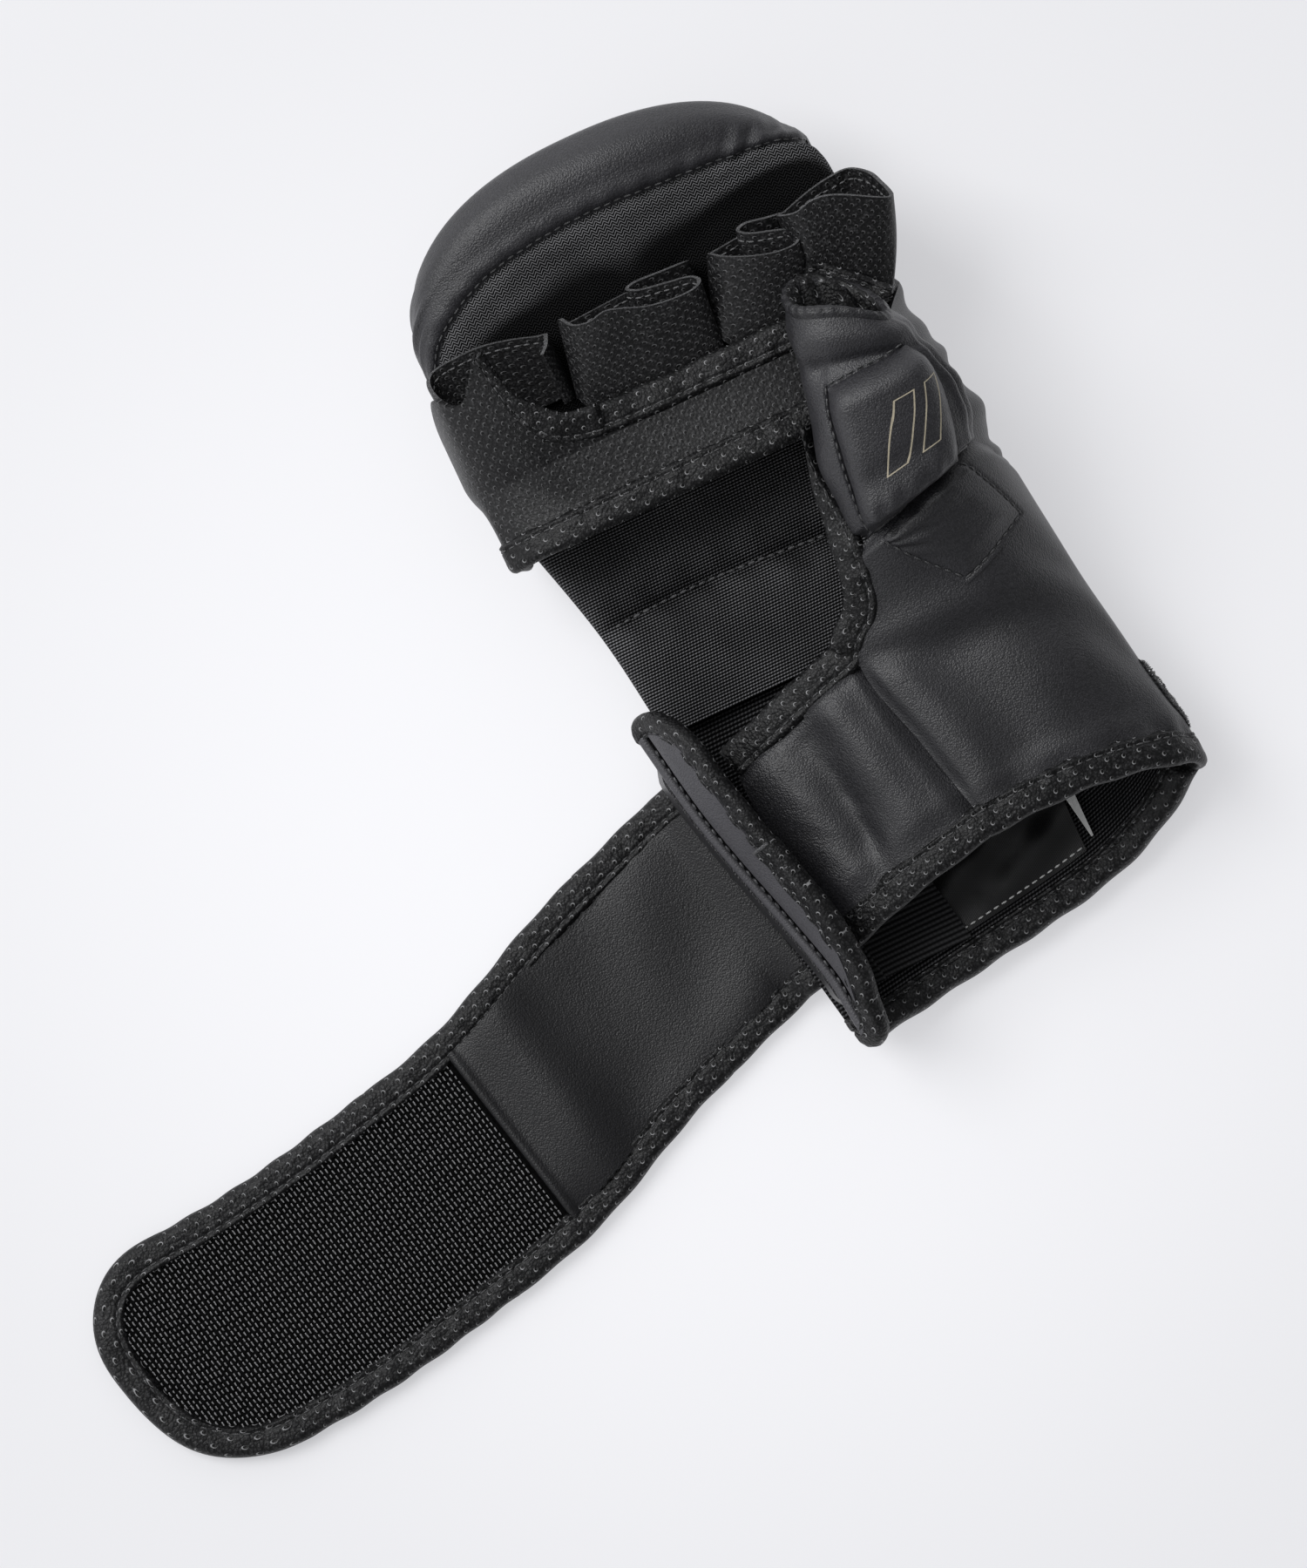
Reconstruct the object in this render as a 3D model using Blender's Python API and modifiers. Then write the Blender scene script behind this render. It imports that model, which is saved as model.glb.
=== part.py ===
"""Sparring glove for the right hand, lying on its back, palm up, with its wrist strap open.

X points to the thumb side, Y to the fingers and Z up from the surface the glove lies on.
The origin is on the flat rest face under the back of the hand.
"""

import math

import bmesh
import bpy
from mathutils import Matrix, Vector

OBJECT_NAME = "mma_glove"

# Sheet materials and the clearance that sewn pieces keep
LEATHER = 0.0014
LINING = 0.0012
SUEDE = 0.0014
SEAM_GAP = 0.0005
BINDING_WIDTH = 0.009
BINDING_THICKNESS = 0.0046

# Knuckle pad: a superellipsoid pillow bent up towards the finger tips
PAD_CENTRE_X = 0.0005
PAD_CENTRE_S = 0.060
PAD_HALF_WIDTH = 0.0645
PAD_FRONT = 0.0540
PAD_REAR = 0.045
PAD_HALF_THICKNESS = 0.015
PAD_FRONT_SQUARENESS = 2.3
PAD_REAR_SQUARENESS = 6.0
PAD_EDGE_SQUARENESS = 3.0
PAD_BEND_START = 0.022
PAD_BEND_RADIUS = 0.118
PAD_SIDE_RISE = 0.004
PAD_SEAM_LATITUDE = math.radians(45.0)
PAD_SEGMENTS = 32

# Back of the hand
HAND_FRONT_Y = 0.0142
HAND_REAR_Y = -0.058
HAND_LEFT = ((-0.058, -0.045), (-0.024, -0.050), (0.0142, -0.060))
HAND_RIGHT = ((-0.058, 0.0725), (-0.024, 0.0700), (0.0142, 0.0635))
HAND_THICKNESS = 0.0145
QUILT_Y = -0.024
QUILT_DIP = 0.0035
QUILT_WIDTH = 0.007
FLAT_SHARE = 0.4
EDGE_RISE = 0.009

# Back of the cuff
CUFF_LIFT = 0.0022
CUFF_THICKNESS = 0.0085
CUFF_LEFT = ((-0.158, -0.032), (-0.120, -0.0395), (-0.090, -0.0475), (-0.058, -0.052))
CUFF_RIGHT = ((-0.158, 0.0865), (-0.120, 0.084), (-0.090, 0.0805), (-0.058, 0.0758))
CUFF_MOUTH = ((-0.033, -0.1535), (0.005, -0.148), (0.050, -0.1405), (0.070, -0.133), (0.086, -0.1225))
LOOP_PATCH = 0.0016
LOOP_PATCH_Y = (-0.118, -0.072)
LOOP_PATCH_SHARE = (0.42, 0.985)

# Labels sewn into the mouth: thickness, seat, then x from and to and distance from the mouth's edge
LABEL = 0.0006
LABEL_SEAT = 0.0004
SATIN_LABEL = (0.004, 0.050, 0.0025, 0.024)
CARE_LABEL = (0.051, 0.0535, 0.002, 0.024)

# Finger loops: place of each across the pad, at its sewn base and at its mouth, then what they share
LOOP_SPANS = {
    "little": ((-0.0640, -0.0275), (-0.0656, -0.0278)),
    "ring": ((-0.0268, 0.0148), (-0.0226, 0.0166)),
    "middle": ((0.0156, 0.0434), (0.0230, 0.0466)),
    "index": ((0.0442, 0.0690), (0.0474, 0.0760)),
}
LOOP_BASE_S = 0.0465
LOOP_MOUTH_S = 0.0765
LOOP_HEIGHT = 0.0205
LOOP_SQUARENESS = 2.8
LOOP_SEAT = 0.0006

# Palm band: an arch from one side of the pad to the other
BAND_FOOT_Z = 0.0242
BAND_TOP_Z = 0.0515
BAND_SQUARENESS = 3.0
BAND_THICKNESS = 0.0022
BAND_SIDE_SEAT = 0.0006
BAND_LOW_Y = 0.0015
BAND_HIGH_Y = 0.0338
BAND_BINDING_WIDTH = 0.0082
BAND_BINDING_THICKNESS = 0.0040

# Cuff panel on the palm side, rows from the flap to the seam, points from the palm opening to the mouth
CUFF_PANEL_ROWS = (
    ((-0.031, -0.077, 0.031), (-0.030, -0.093, 0.031), (-0.028, -0.110, 0.031), (-0.026, -0.127, 0.031)),
    ((-0.017, -0.072, 0.0365), (-0.016, -0.088, 0.037), (-0.0145, -0.105, 0.037), (-0.013, -0.1225, 0.037)),
    ((-0.0025, -0.067, 0.042), (-0.0015, -0.083, 0.0425), (0.000, -0.100, 0.0425), (0.002, -0.118, 0.0425)),
    ((0.0112, -0.0625, 0.046), (0.0145, -0.079, 0.0468), (0.0192, -0.096, 0.0468), (0.0237, -0.113, 0.0468)),
)

# Thenar panel, rows from the mouth to the thumb crease, points from the seam round to the thumb side
THENAR_ROWS = (
    ((0.0245, -0.1128, 0.047), (0.042, -0.112, 0.0475), (0.060, -0.1125, 0.0455), (0.076, -0.115, 0.040),
     (0.0855, -0.118, 0.0325), (0.0885, -0.1205, 0.0265), (0.0872, -0.121, 0.0208)),
    ((0.0188, -0.090, 0.0473), (0.040, -0.090, 0.048), (0.058, -0.091, 0.047), (0.072, -0.092, 0.0415),
     (0.0815, -0.094, 0.033), (0.0845, -0.096, 0.027), (0.0832, -0.097, 0.0208)),
    ((0.0125, -0.0632, 0.0464), (0.032, -0.066, 0.0495), (0.052, -0.068, 0.0495), (0.066, -0.070, 0.044),
     (0.076, -0.071, 0.0355), (0.0805, -0.074, 0.028), (0.0797, -0.075, 0.0208)),
    ((0.0235, -0.050, 0.051), (0.036, -0.050, 0.0545), (0.050, -0.0495, 0.0555), (0.062, -0.050, 0.0515),
     (0.072, -0.052, 0.042), (0.0775, -0.054, 0.031), (0.0775, -0.0555, 0.0225)),
    ((0.0265, -0.033, 0.058), (0.034, -0.031, 0.065), (0.043, -0.0285, 0.069), (0.056, -0.025, 0.069),
     (0.068, -0.024, 0.058), (0.0745, -0.030, 0.036), (0.0755, -0.034, 0.0255)),
)
CUFF_OPENING_STEPS = (0.10, 0.40, 0.70, 0.96)
THENAR_OPENING_STEPS = (0.62, 0.71, 0.80, 0.89, 0.985)
CUFF_TAPE_SHARE = (0.0, 0.97)
THENAR_TAPE_SHARE = (0.016, 0.93)
PATCH_SHARE = (0.30, 0.62)
PATCH_V = (0.80, 0.975)
PATCH_POINT = 0.12
PATCH_SPREAD = 1.5

# Thumb sleeve, rings from the crease to the mouth: centre x, y, z, half width, half height, slant
THUMB_RINGS = (
    (0.0470, -0.0265, 0.0552, 0.0205, 0.0145, 0.27),
    (0.0475, -0.0080, 0.0605, 0.0225, 0.0150, 0.10),
    (0.0475, 0.0120, 0.0665, 0.0200, 0.0130, -0.15),
    (0.0465, 0.0310, 0.0710, 0.0150, 0.0118, -0.38),
)
THUMB_TILT = 0.28
THUMB_SQUARENESS = 2.4
THUMB_CLOSED_V = 0.62
THUMB_OPEN_ANGLE = math.radians(62.0)
THUMB_PAD_V = (0.08, 0.66)
THUMB_PAD_ANGLE = math.radians(62.0)
THUMB_PAD_RISE = 0.0052
THUMB_PAD_RIM = 0.0016
THUMB_FOAM_RIM = 0.0008
THUMB_FOAM_SHARE = (0.06, 0.94)
THUMB_LINING_V = (0.64, 0.97)
THUMB_BINDING_WIDTH = 0.0045
THUMB_BINDING_RISE = 0.0012
THUMB_BINDING_THICKNESS = 0.0036
THUMB_CREASE_Z = 0.0705
GUSSET_THICKNESS = 0.0030
GUSSET_FOOT = ((0.0736, -0.0308, 0.0255), (0.0722, -0.015, 0.0262), (0.0695, 0.0009, 0.0272))
GUSSET_TOP = ((0.0713, -0.0268, 0.0440), (0.0720, -0.013, 0.0485), (0.0690, 0.0009, 0.0505))

# Side wall of the cuff and the closing flap above it
WALL_TOP_Z = 0.0285
WALL_THICKNESS = 0.0050
WALL_SHARE = (0.01, 0.96)
FLAP_LINE = ((-0.0267, -0.1540), (-0.0483, -0.0565))
FLAP_SEAT = 0.0004
FLAP_HEIGHT = 0.0195
FLAP_ROUND_FROM = 0.70
FLAP_ROUND_DROP = 0.60
FLAP_LEAN = math.radians(30.0)
FLAP_THICKNESS = 0.0046
FLAP_BINDING_WIDTH = 0.0080
FLAP_BINDING_THICKNESS = 0.0062

# Elastic from under the cuff panel down to the lining: distance in from the cuff's edge, and height
ELASTIC = 0.0012
ELASTIC_Y = (-0.128, -0.084)
ELASTIC_BEND = ((0.0165, 0.0272), (0.0125, 0.0250), (0.0125, 0.0210), (0.018, 0.0169), (0.030, 0.0137),
                (0.044, 0.0127))

# Strap: measured out from its root hinge, across the fold line
STRAP_LINE_ANGLE = math.radians(-77.3)
STRAP_ROOT = (-0.0480, -0.1075)
STRAP_DRIFT = ((0.0, 0.0), (0.045, 0.006), (0.090, 0.0155), (0.130, 0.0165), (0.162, 0.0155), (0.190, 0.012),
               (0.226, 0.004))
STRAP_LENGTH = 0.2240
STRAP_HALF_WIDTH = 0.0365
STRAP_TIP_LENGTH = 0.034
STRAP_TIP_SQUARENESS = 2.5
STRAP_TIP_EASE = 1.6
STRAP_TIP_STOP = 0.0006
STRAP_ROUND_SHARE = 0.70
STRAP_THICKNESS = 0.0050
STRAP_BINDING_WIDTH = 0.0085
STRAP_BINDING_THICKNESS = 0.0060
STRAP_MID_FOLD = 0.062
STRAP_TIP_FOLD = 0.172
STRAP_HOOK_START = 0.092
STRAP_ANCHOR = 0.0195
STRAP_ANCHOR_SLOPE = 1.1
HOOK = 0.0012
FOLD_GAP = 0.0008


def start_scene():
    for item in list(bpy.data.objects):
        bpy.data.objects.remove(item, do_unlink=True)
    parts = bpy.data.collections.new(OBJECT_NAME)
    bpy.context.scene.collection.children.link(parts)
    return parts


def finish(name, colour, roughness):
    material = bpy.data.materials.new(name)
    material.use_nodes = True
    shader = material.node_tree.nodes["Principled BSDF"]
    shader.inputs["Base Color"].default_value = (*colour, 1.0)
    shader.inputs["Roughness"].default_value = roughness
    shader.inputs["Metallic"].default_value = 0.0
    return material


# Curves and surfaces through a few points
def spline(points, share):
    """Point on a smooth curve through the given points, share 0 to 1 from the first to the last."""
    spans = len(points) - 1
    place = min(max(share, 0.0), 1.0) * spans
    index = min(int(place), spans - 1)
    t = place - index
    p1 = Vector(points[index])
    p2 = Vector(points[index + 1])
    p0 = Vector(points[index - 1]) if index > 0 else p1 * 2.0 - p2
    p3 = Vector(points[index + 2]) if index + 2 <= spans else p2 * 2.0 - p1
    bend = (p0 * -1.0 + p2) * t
    bend += (p0 * 2.0 - p1 * 5.0 + p2 * 4.0 - p3) * (t * t)
    bend += (p0 * -1.0 + p1 * 3.0 - p2 * 3.0 + p3) * (t * t * t)
    return p1 + bend * 0.5


def reading(table, x):
    """Smooth reading of a table of (place, value) pairs at the place x."""
    last = len(table) - 2
    index = 0
    while index < last and x > table[index + 1][0]:
        index += 1
    (x1, y1), (x2, y2) = table[index], table[index + 1]
    slope = (y2 - y1) / (x2 - x1)
    slope1 = slope if index == 0 else (y2 - table[index - 1][1]) / (x2 - table[index - 1][0])
    slope2 = slope if index == last else (table[index + 2][1] - y1) / (table[index + 2][0] - x1)
    run = x2 - x1
    t = min(max((x - x1) / run, 0.0), 1.0)
    rest = (1.0 - t) * (1.0 - t)
    return (y1 * (1.0 + 2.0 * t) * rest + slope1 * run * t * rest
            + y2 * t * t * (3.0 - 2.0 * t) + slope2 * run * t * t * (t - 1.0))


def mix(a, b, share):
    return a + (b - a) * share


def power(value, exponent):
    return math.copysign(abs(value) ** exponent, value)


def across_and_along(surface, u, v, step=0.002):
    """Directions of a surface at (u, v), kept inside the unit square."""
    u1, u2 = max(u - step, 0.0), min(u + step, 1.0)
    v1, v2 = max(v - step, 0.0), min(v + step, 1.0)
    return surface(u2, v) - surface(u1, v), surface(u, v2) - surface(u, v1)


def normal(surface, u, v):
    across, along = across_and_along(surface, u, v)
    return across.cross(along).normalized()


def layer(surface, height):
    """The same surface moved out along its normals."""
    return lambda u, v: surface(u, v) + normal(surface, u, v) * height


def part_of(surface, u_range, v_range):
    return lambda u, v: surface(mix(*u_range, u), mix(*v_range, v))


# Mesh makers
def add_object(bm, name, material, parts):
    mesh = bpy.data.meshes.new(name)
    bm.to_mesh(mesh)
    bm.free()
    mesh.materials.append(material)
    mesh.shade_smooth()
    mesh.set_sharp_from_angle(angle=math.radians(40.0))
    item = bpy.data.objects.new(name, mesh)
    parts.objects.link(item)
    return item


def slab(name, low, high, cells, material, parts):
    """Closed sheet between two surfaces on the unit square, high lying on the outer side."""
    bm = bmesh.new()
    bmesh.ops.create_grid(bm, x_segments=cells[0], y_segments=cells[1], size=0.5)
    below = {vert: (vert.co.x + 0.5, vert.co.y + 0.5) for vert in bm.verts}
    grown = bmesh.ops.extrude_face_region(bm, geom=bm.faces[:])["geom"]
    above = {vert: (vert.co.x + 0.5, vert.co.y + 0.5) for vert in grown if isinstance(vert, bmesh.types.BMVert)}
    for vert, (u, v) in below.items():
        vert.co = low(u, v) if vert not in above else vert.co
    for vert, (u, v) in above.items():
        vert.co = high(u, v)
    bmesh.ops.recalc_face_normals(bm, faces=bm.faces[:])
    return add_object(bm, name, material, parts)


def sheet(name, surface, low, high, cells, material, parts):
    return slab(name, layer(surface, low), layer(surface, high), cells, material, parts)


def tube(name, surface, thickness, cells, material, parts, leave_out=None):
    """Open-ended tube; u runs round it and v along it. Its wall grows inwards."""
    bm = bmesh.new()
    bmesh.ops.create_grid(bm, x_segments=cells[0], y_segments=cells[1], size=0.5)
    if leave_out:
        spare = []
        for face in bm.faces:
            middle = face.calc_center_median()
            if leave_out(middle.x + 0.5, middle.y + 0.5):
                spare.append(face)
        bmesh.ops.delete(bm, geom=spare, context="FACES")
    for vert in bm.verts:
        vert.co = surface(vert.co.x + 0.5, vert.co.y + 0.5)
    bmesh.ops.remove_doubles(bm, verts=bm.verts[:], dist=0.00001)
    item = add_object(bm, name, material, parts)
    wall = item.modifiers.new("wall", "SOLIDIFY")
    wall.thickness = thickness
    wall.offset = -1.0
    wall.use_even_offset = True
    return item


def hinge_empty(name, place, items, parts):
    """Empty on a joint's axis that carries the pieces that turn with it."""
    empty = bpy.data.objects.new(name, None)
    empty.location = place
    parts.objects.link(empty)
    for item in items:
        item.parent = empty
        item.matrix_parent_inverse = Matrix.Translation(place).inverted()
    return empty


# Knuckle pad
def side_rise(x):
    return PAD_SIDE_RISE * (abs(x - PAD_CENTRE_X) / PAD_HALF_WIDTH) ** 3


def pad_place(x, s, t):
    """Point at x across, s along and t above the middle of the pad, bent up at the front."""
    turn = max(s - PAD_BEND_START, 0.0) / PAD_BEND_RADIUS
    reach = PAD_BEND_RADIUS - t
    y = min(s, PAD_BEND_START) + reach * math.sin(turn)
    z = PAD_HALF_THICKNESS + PAD_BEND_RADIUS - reach * math.cos(turn)
    return Vector((x, y, z + side_rise(x)))


def pillow(inset):
    """Surface of the pad by longitude and latitude, drawn in by the inset."""
    def place(longitude, latitude):
        c, s = math.cos(longitude), math.sin(longitude)
        square = PAD_FRONT_SQUARENESS if s > 0.0 else PAD_REAR_SQUARENESS
        reach = (abs(c) ** square + abs(s) ** square) ** (-1.0 / square)
        radius = abs(math.cos(latitude)) ** (2.0 / PAD_EDGE_SQUARENESS) * reach
        height = power(math.sin(latitude), 2.0 / PAD_EDGE_SQUARENESS)
        length = PAD_FRONT if s > 0.0 else PAD_REAR
        x = PAD_CENTRE_X + (PAD_HALF_WIDTH - inset) * radius * c
        along = PAD_CENTRE_S + (length - inset) * radius * s
        return pad_place(x, along, (PAD_HALF_THICKNESS - inset) * height)
    return place


def pad_ball(name, inset, latitudes, rings, thickness, material, parts):
    """Part of the pillow between two latitudes; a part that leaves out a pole gets a wall of its own."""
    pole = 0.5 * math.pi
    bm = bmesh.new()
    bmesh.ops.create_uvsphere(bm, u_segments=PAD_SEGMENTS, v_segments=rings, radius=1.0)
    first = -pole if latitudes[0] <= -pole else -pole + math.pi / rings
    last = pole if latitudes[1] >= pole else pole - math.pi / rings
    height = {vert: math.asin(max(-1.0, min(1.0, vert.co.z))) for vert in bm.verts}
    margin = 0.25 * math.pi / rings
    spare = [vert for vert, a in height.items() if not first - margin < a < last + margin]
    for vert in spare:
        height.pop(vert)
    bmesh.ops.delete(bm, geom=spare, context="VERTS")
    surface = pillow(inset)
    for vert, a in height.items():
        share = (a - first) / (last - first)
        vert.co = surface(math.atan2(vert.co.y, vert.co.x), mix(*latitudes, share))
    item = add_object(bm, name, material, parts)
    if thickness:
        wall = item.modifiers.new("wall", "SOLIDIFY")
        wall.thickness = thickness
        wall.offset = -1.0
        wall.use_even_offset = True
    return item


def knuckle_pad(looks, parts):
    pole = 0.5 * math.pi
    seam = PAD_SEAM_LATITUDE
    seam_step = SEAM_GAP / PAD_HALF_THICKNESS
    pad_ball("knuckle_pad_cover", 0.0, (-pole, seam), 12, LEATHER, looks["leather"], parts)
    pad_ball("knuckle_pad_foam", LEATHER + SEAM_GAP, (-pole, pole), 14, 0.0, looks["foam"], parts)
    pad_ball("knuckle_pad_lining", 0.0, (seam + seam_step, pole), 8, LINING, looks["mesh"], parts)


# Back of the hand and of the cuff
def edge_rise(share):
    beyond = max(abs(2.0 * share - 1.0) - FLAT_SHARE, 0.0) / (1.0 - FLAT_SHARE)
    return EDGE_RISE * beyond * beyond


def hand_top(y):
    dip = QUILT_DIP * math.exp(-((y - QUILT_Y) / QUILT_WIDTH) ** 2)
    return HAND_THICKNESS - dip


def hand_surface(height, y_range):
    """Back of the hand at a height that may depend on y, between two y values."""
    def place(u, v):
        y = mix(*y_range, v)
        x = mix(reading(HAND_LEFT, y), reading(HAND_RIGHT, y), u)
        z = height(y) if callable(height) else height
        return Vector((x, y, edge_rise(u) + z))
    return place


def back_of_hand(looks, parts):
    whole = (HAND_REAR_Y, HAND_FRONT_Y)
    slab("back_hand_cover", hand_surface(0.0, whole), hand_surface(LEATHER, whole), (10, 6),
         looks["leather"], parts)
    slab("back_hand_lining", hand_surface(lambda y: hand_top(y) - LINING, whole), hand_surface(hand_top, whole),
         (10, 12), looks["knit"], parts)
    foam_low = LEATHER + SEAM_GAP
    foam_high = lambda y: hand_top(y) - LINING - SEAM_GAP
    halves = {
        "back_hand_foam_wrist": (HAND_REAR_Y, QUILT_Y - SEAM_GAP),
        "back_hand_foam_knuckle": (QUILT_Y + SEAM_GAP, HAND_FRONT_Y),
    }
    for name, y_range in halves.items():
        slab(name, hand_surface(foam_low, y_range), hand_surface(foam_high, y_range), (10, 6),
             looks["foam"], parts)


def cuff_surface(height, from_mouth=0.0, to_mouth=None):
    """Back of the cuff at a height, from the mouth's sewn edge to the hand or to a line off the mouth."""
    def place(u, v):
        mouth_x = mix(CUFF_MOUTH[0][0], CUFF_MOUTH[-1][0], u)
        mouth_y = reading(CUFF_MOUTH, mouth_x) + from_mouth
        far_y = HAND_REAR_Y - SEAM_GAP if to_mouth is None else reading(CUFF_MOUTH, mouth_x) + to_mouth
        y = mix(mouth_y, far_y, v)
        x = mix(reading(CUFF_LEFT, y), reading(CUFF_RIGHT, y), u)
        return Vector((x, y, CUFF_LIFT + edge_rise(u) + height))
    return place


def back_of_cuff(looks, parts):
    low_foam = LEATHER + SEAM_GAP
    high_foam = CUFF_THICKNESS - LINING - SEAM_GAP
    slab("cuff_back_cover", cuff_surface(0.0), cuff_surface(LEATHER), (12, 8), looks["leather"], parts)
    slab("cuff_back_foam", cuff_surface(low_foam), cuff_surface(high_foam), (12, 8), looks["foam"], parts)
    slab("cuff_back_lining", cuff_surface(CUFF_THICKNESS - LINING), cuff_surface(CUFF_THICKNESS), (12, 8),
         looks["knit"], parts)
    edge = (-BINDING_WIDTH, -SEAM_GAP)
    middle = 0.5 * CUFF_THICKNESS
    half = 0.5 * CUFF_THICKNESS + 0.5 * SEAM_GAP
    slab("cuff_back_mouth_binding", cuff_surface(middle - half, *edge), cuff_surface(middle + half, *edge),
         (14, 2), looks["binding"], parts)

    def patch(height):
        def place(u, v):
            share = mix(*LOOP_PATCH_SHARE, u)
            y = mix(*LOOP_PATCH_Y, v)
            x = mix(reading(CUFF_LEFT, y), reading(CUFF_RIGHT, y), share)
            return Vector((x, y, CUFF_LIFT + edge_rise(share) - SEAM_GAP + height))
        return place
    slab("loop_patch", patch(-LOOP_PATCH), patch(0.0), (8, 4), looks["loop"], parts)

    def label(corners, height):
        def place(u, v):
            x = mix(corners[0], corners[1], u)
            y = reading(CUFF_MOUTH, x) + mix(corners[2], corners[3], v)
            share = (x - reading(CUFF_LEFT, y)) / (reading(CUFF_RIGHT, y) - reading(CUFF_LEFT, y))
            return Vector((x, y, CUFF_LIFT + edge_rise(share) + CUFF_THICKNESS + LABEL_SEAT + height))
        return place
    slab("satin_label", label(SATIN_LABEL, 0.0), label(SATIN_LABEL, LABEL), (6, 2), looks["satin"], parts)
    slab("care_label", label(CARE_LABEL, 0.0), label(CARE_LABEL, LABEL), (2, 2), looks["white"], parts)


# Finger loops
def loop_surface(span):
    base, mouth = span
    half_height = 0.5 * LOOP_HEIGHT
    centre = PAD_HALF_THICKNESS + LOOP_SEAT + half_height

    def place(u, v):
        angle = -2.0 * math.pi * u
        left = mix(base[0], mouth[0], v)
        right = mix(base[1], mouth[1], v)
        across = 0.5 + 0.5 * power(math.cos(angle), 2.0 / LOOP_SQUARENESS)
        t = centre + half_height * power(math.sin(angle), 2.0 / LOOP_SQUARENESS)
        return pad_place(mix(left, right, across), mix(LOOP_BASE_S, LOOP_MOUTH_S, v), t)
    return place


def finger_loops(looks, parts):
    for finger, span in LOOP_SPANS.items():
        name = "finger_loop_" + finger
        item = tube(name, loop_surface(span), SUEDE, (20, 3), looks["suede"], parts)
        middle = 0.5 * sum(span[0])
        lift = PAD_HALF_THICKNESS + LOOP_SEAT + 0.5 * LOOP_HEIGHT
        axis = pad_place(middle, LOOP_BASE_S, lift)
        hinge_empty("finger_loop_hinge_" + finger, axis, [item], parts)


# Palm band
def band_surface(y_range):
    half_width = PAD_HALF_WIDTH + BAND_SIDE_SEAT + 0.5 * BAND_BINDING_THICKNESS

    def place(u, v):
        angle = math.pi * (1.0 - u)
        x = PAD_CENTRE_X + half_width * power(math.cos(angle), 2.0 / BAND_SQUARENESS)
        z = BAND_FOOT_Z + (BAND_TOP_Z - BAND_FOOT_Z) * power(math.sin(angle), 2.0 / BAND_SQUARENESS)
        return Vector((x, mix(*y_range, v), z))
    return place


def palm_band(looks, parts):
    low = BAND_LOW_Y + BAND_BINDING_WIDTH
    high = BAND_HIGH_Y - BAND_BINDING_WIDTH
    half = 0.5 * BAND_THICKNESS
    sheet("palm_band", band_surface((low + SEAM_GAP, high - SEAM_GAP)), -half, half, (20, 2),
          looks["suede"], parts)
    half = 0.5 * BAND_BINDING_THICKNESS
    sheet("palm_band_lower_binding", band_surface((BAND_LOW_Y, low)), -half, half, (20, 1),
          looks["binding"], parts)
    sheet("palm_band_upper_binding", band_surface((high, BAND_HIGH_Y)), -half, half, (20, 1),
          looks["binding"], parts)


# Palm side of the cuff and of the thumb's base
def cuff_panel_surface(u, v):
    return spline([spline(row, u) for row in CUFF_PANEL_ROWS], v)


def thenar_surface(u, v):
    return spline([spline(row, u) for row in THENAR_ROWS], v)


def edge_strip(surface, corner, along, width):
    """Strip of tape beside a surface's edge: across the edge in v, along it in u."""
    def place(u, v):
        share = mix(*along, u)
        at = (corner[1], share) if corner[0] == "u" else (share, corner[1])
        across, length = across_and_along(surface, *at)
        face = across.cross(length).normalized()
        edge = length if corner[0] == "u" else across
        outward = face.cross(edge).normalized()
        inward = (across if corner[0] == "u" else length) * (1.0 - 2.0 * corner[1])
        if outward.dot(inward) > 0.0:
            outward = outward * -1.0
        return surface(*at) + outward * mix(SEAM_GAP, width, v)
    return place


def opening_tape(u, v):
    """Binding round the palm opening, along the cuff panel's edge and then up the thenar panel's edge."""
    spots = [(cuff_panel_surface, step) for step in CUFF_OPENING_STEPS]
    spots += [(thenar_surface, step) for step in THENAR_OPENING_STEPS]
    path = [surface(0.0, step) for surface, step in spots]
    faces = [normal(surface, 0.0, step) for surface, step in spots]
    travel = spline(path, u + 0.01) - spline(path, u - 0.01)
    outward = spline(faces, u).cross(travel).normalized()
    return spline(path, u) + outward * mix(SEAM_GAP, BINDING_WIDTH, v)


def palm_side(looks, parts):
    panels = {"cuff_panel": (cuff_panel_surface, (8, 8)), "thenar_panel": (thenar_surface, (14, 10))}
    for name, (surface, cells) in panels.items():
        sheet(name + "_cover", surface, 0.0, LEATHER, cells, looks["leather"], parts)
        sheet(name + "_lining", surface, -SEAM_GAP - LINING, -SEAM_GAP, cells, looks["knit"], parts)
    tapes = {
        "cuff_panel_mouth_binding": (cuff_panel_surface, ("u", 1.0), CUFF_TAPE_SHARE, 6),
        "thenar_mouth_binding": (thenar_surface, ("v", 0.0), THENAR_TAPE_SHARE, 12),
    }
    middle = 0.5 * (LEATHER - SEAM_GAP - LINING)
    half = 0.5 * BINDING_THICKNESS
    for name, (surface, edge, along, steps) in tapes.items():
        tape = edge_strip(surface, edge, along, BINDING_WIDTH)
        sheet(name, tape, middle - half, middle + half, (steps, 1), looks["binding"], parts)
    sheet("palm_opening_binding", opening_tape, middle - half, middle + half, (16, 1), looks["binding"], parts)

    patch = part_of(thenar_surface, PATCH_SHARE, PATCH_V)

    def pointed(u, v):
        width = min(1.0, PATCH_POINT + PATCH_SPREAD * v)
        return patch(0.5 + (u - 0.5) * width, v)
    low = LEATHER + SEAM_GAP
    sheet("thumb_base_patch", pointed, low, low + LEATHER, (6, 4), looks["leather"], parts)


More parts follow.
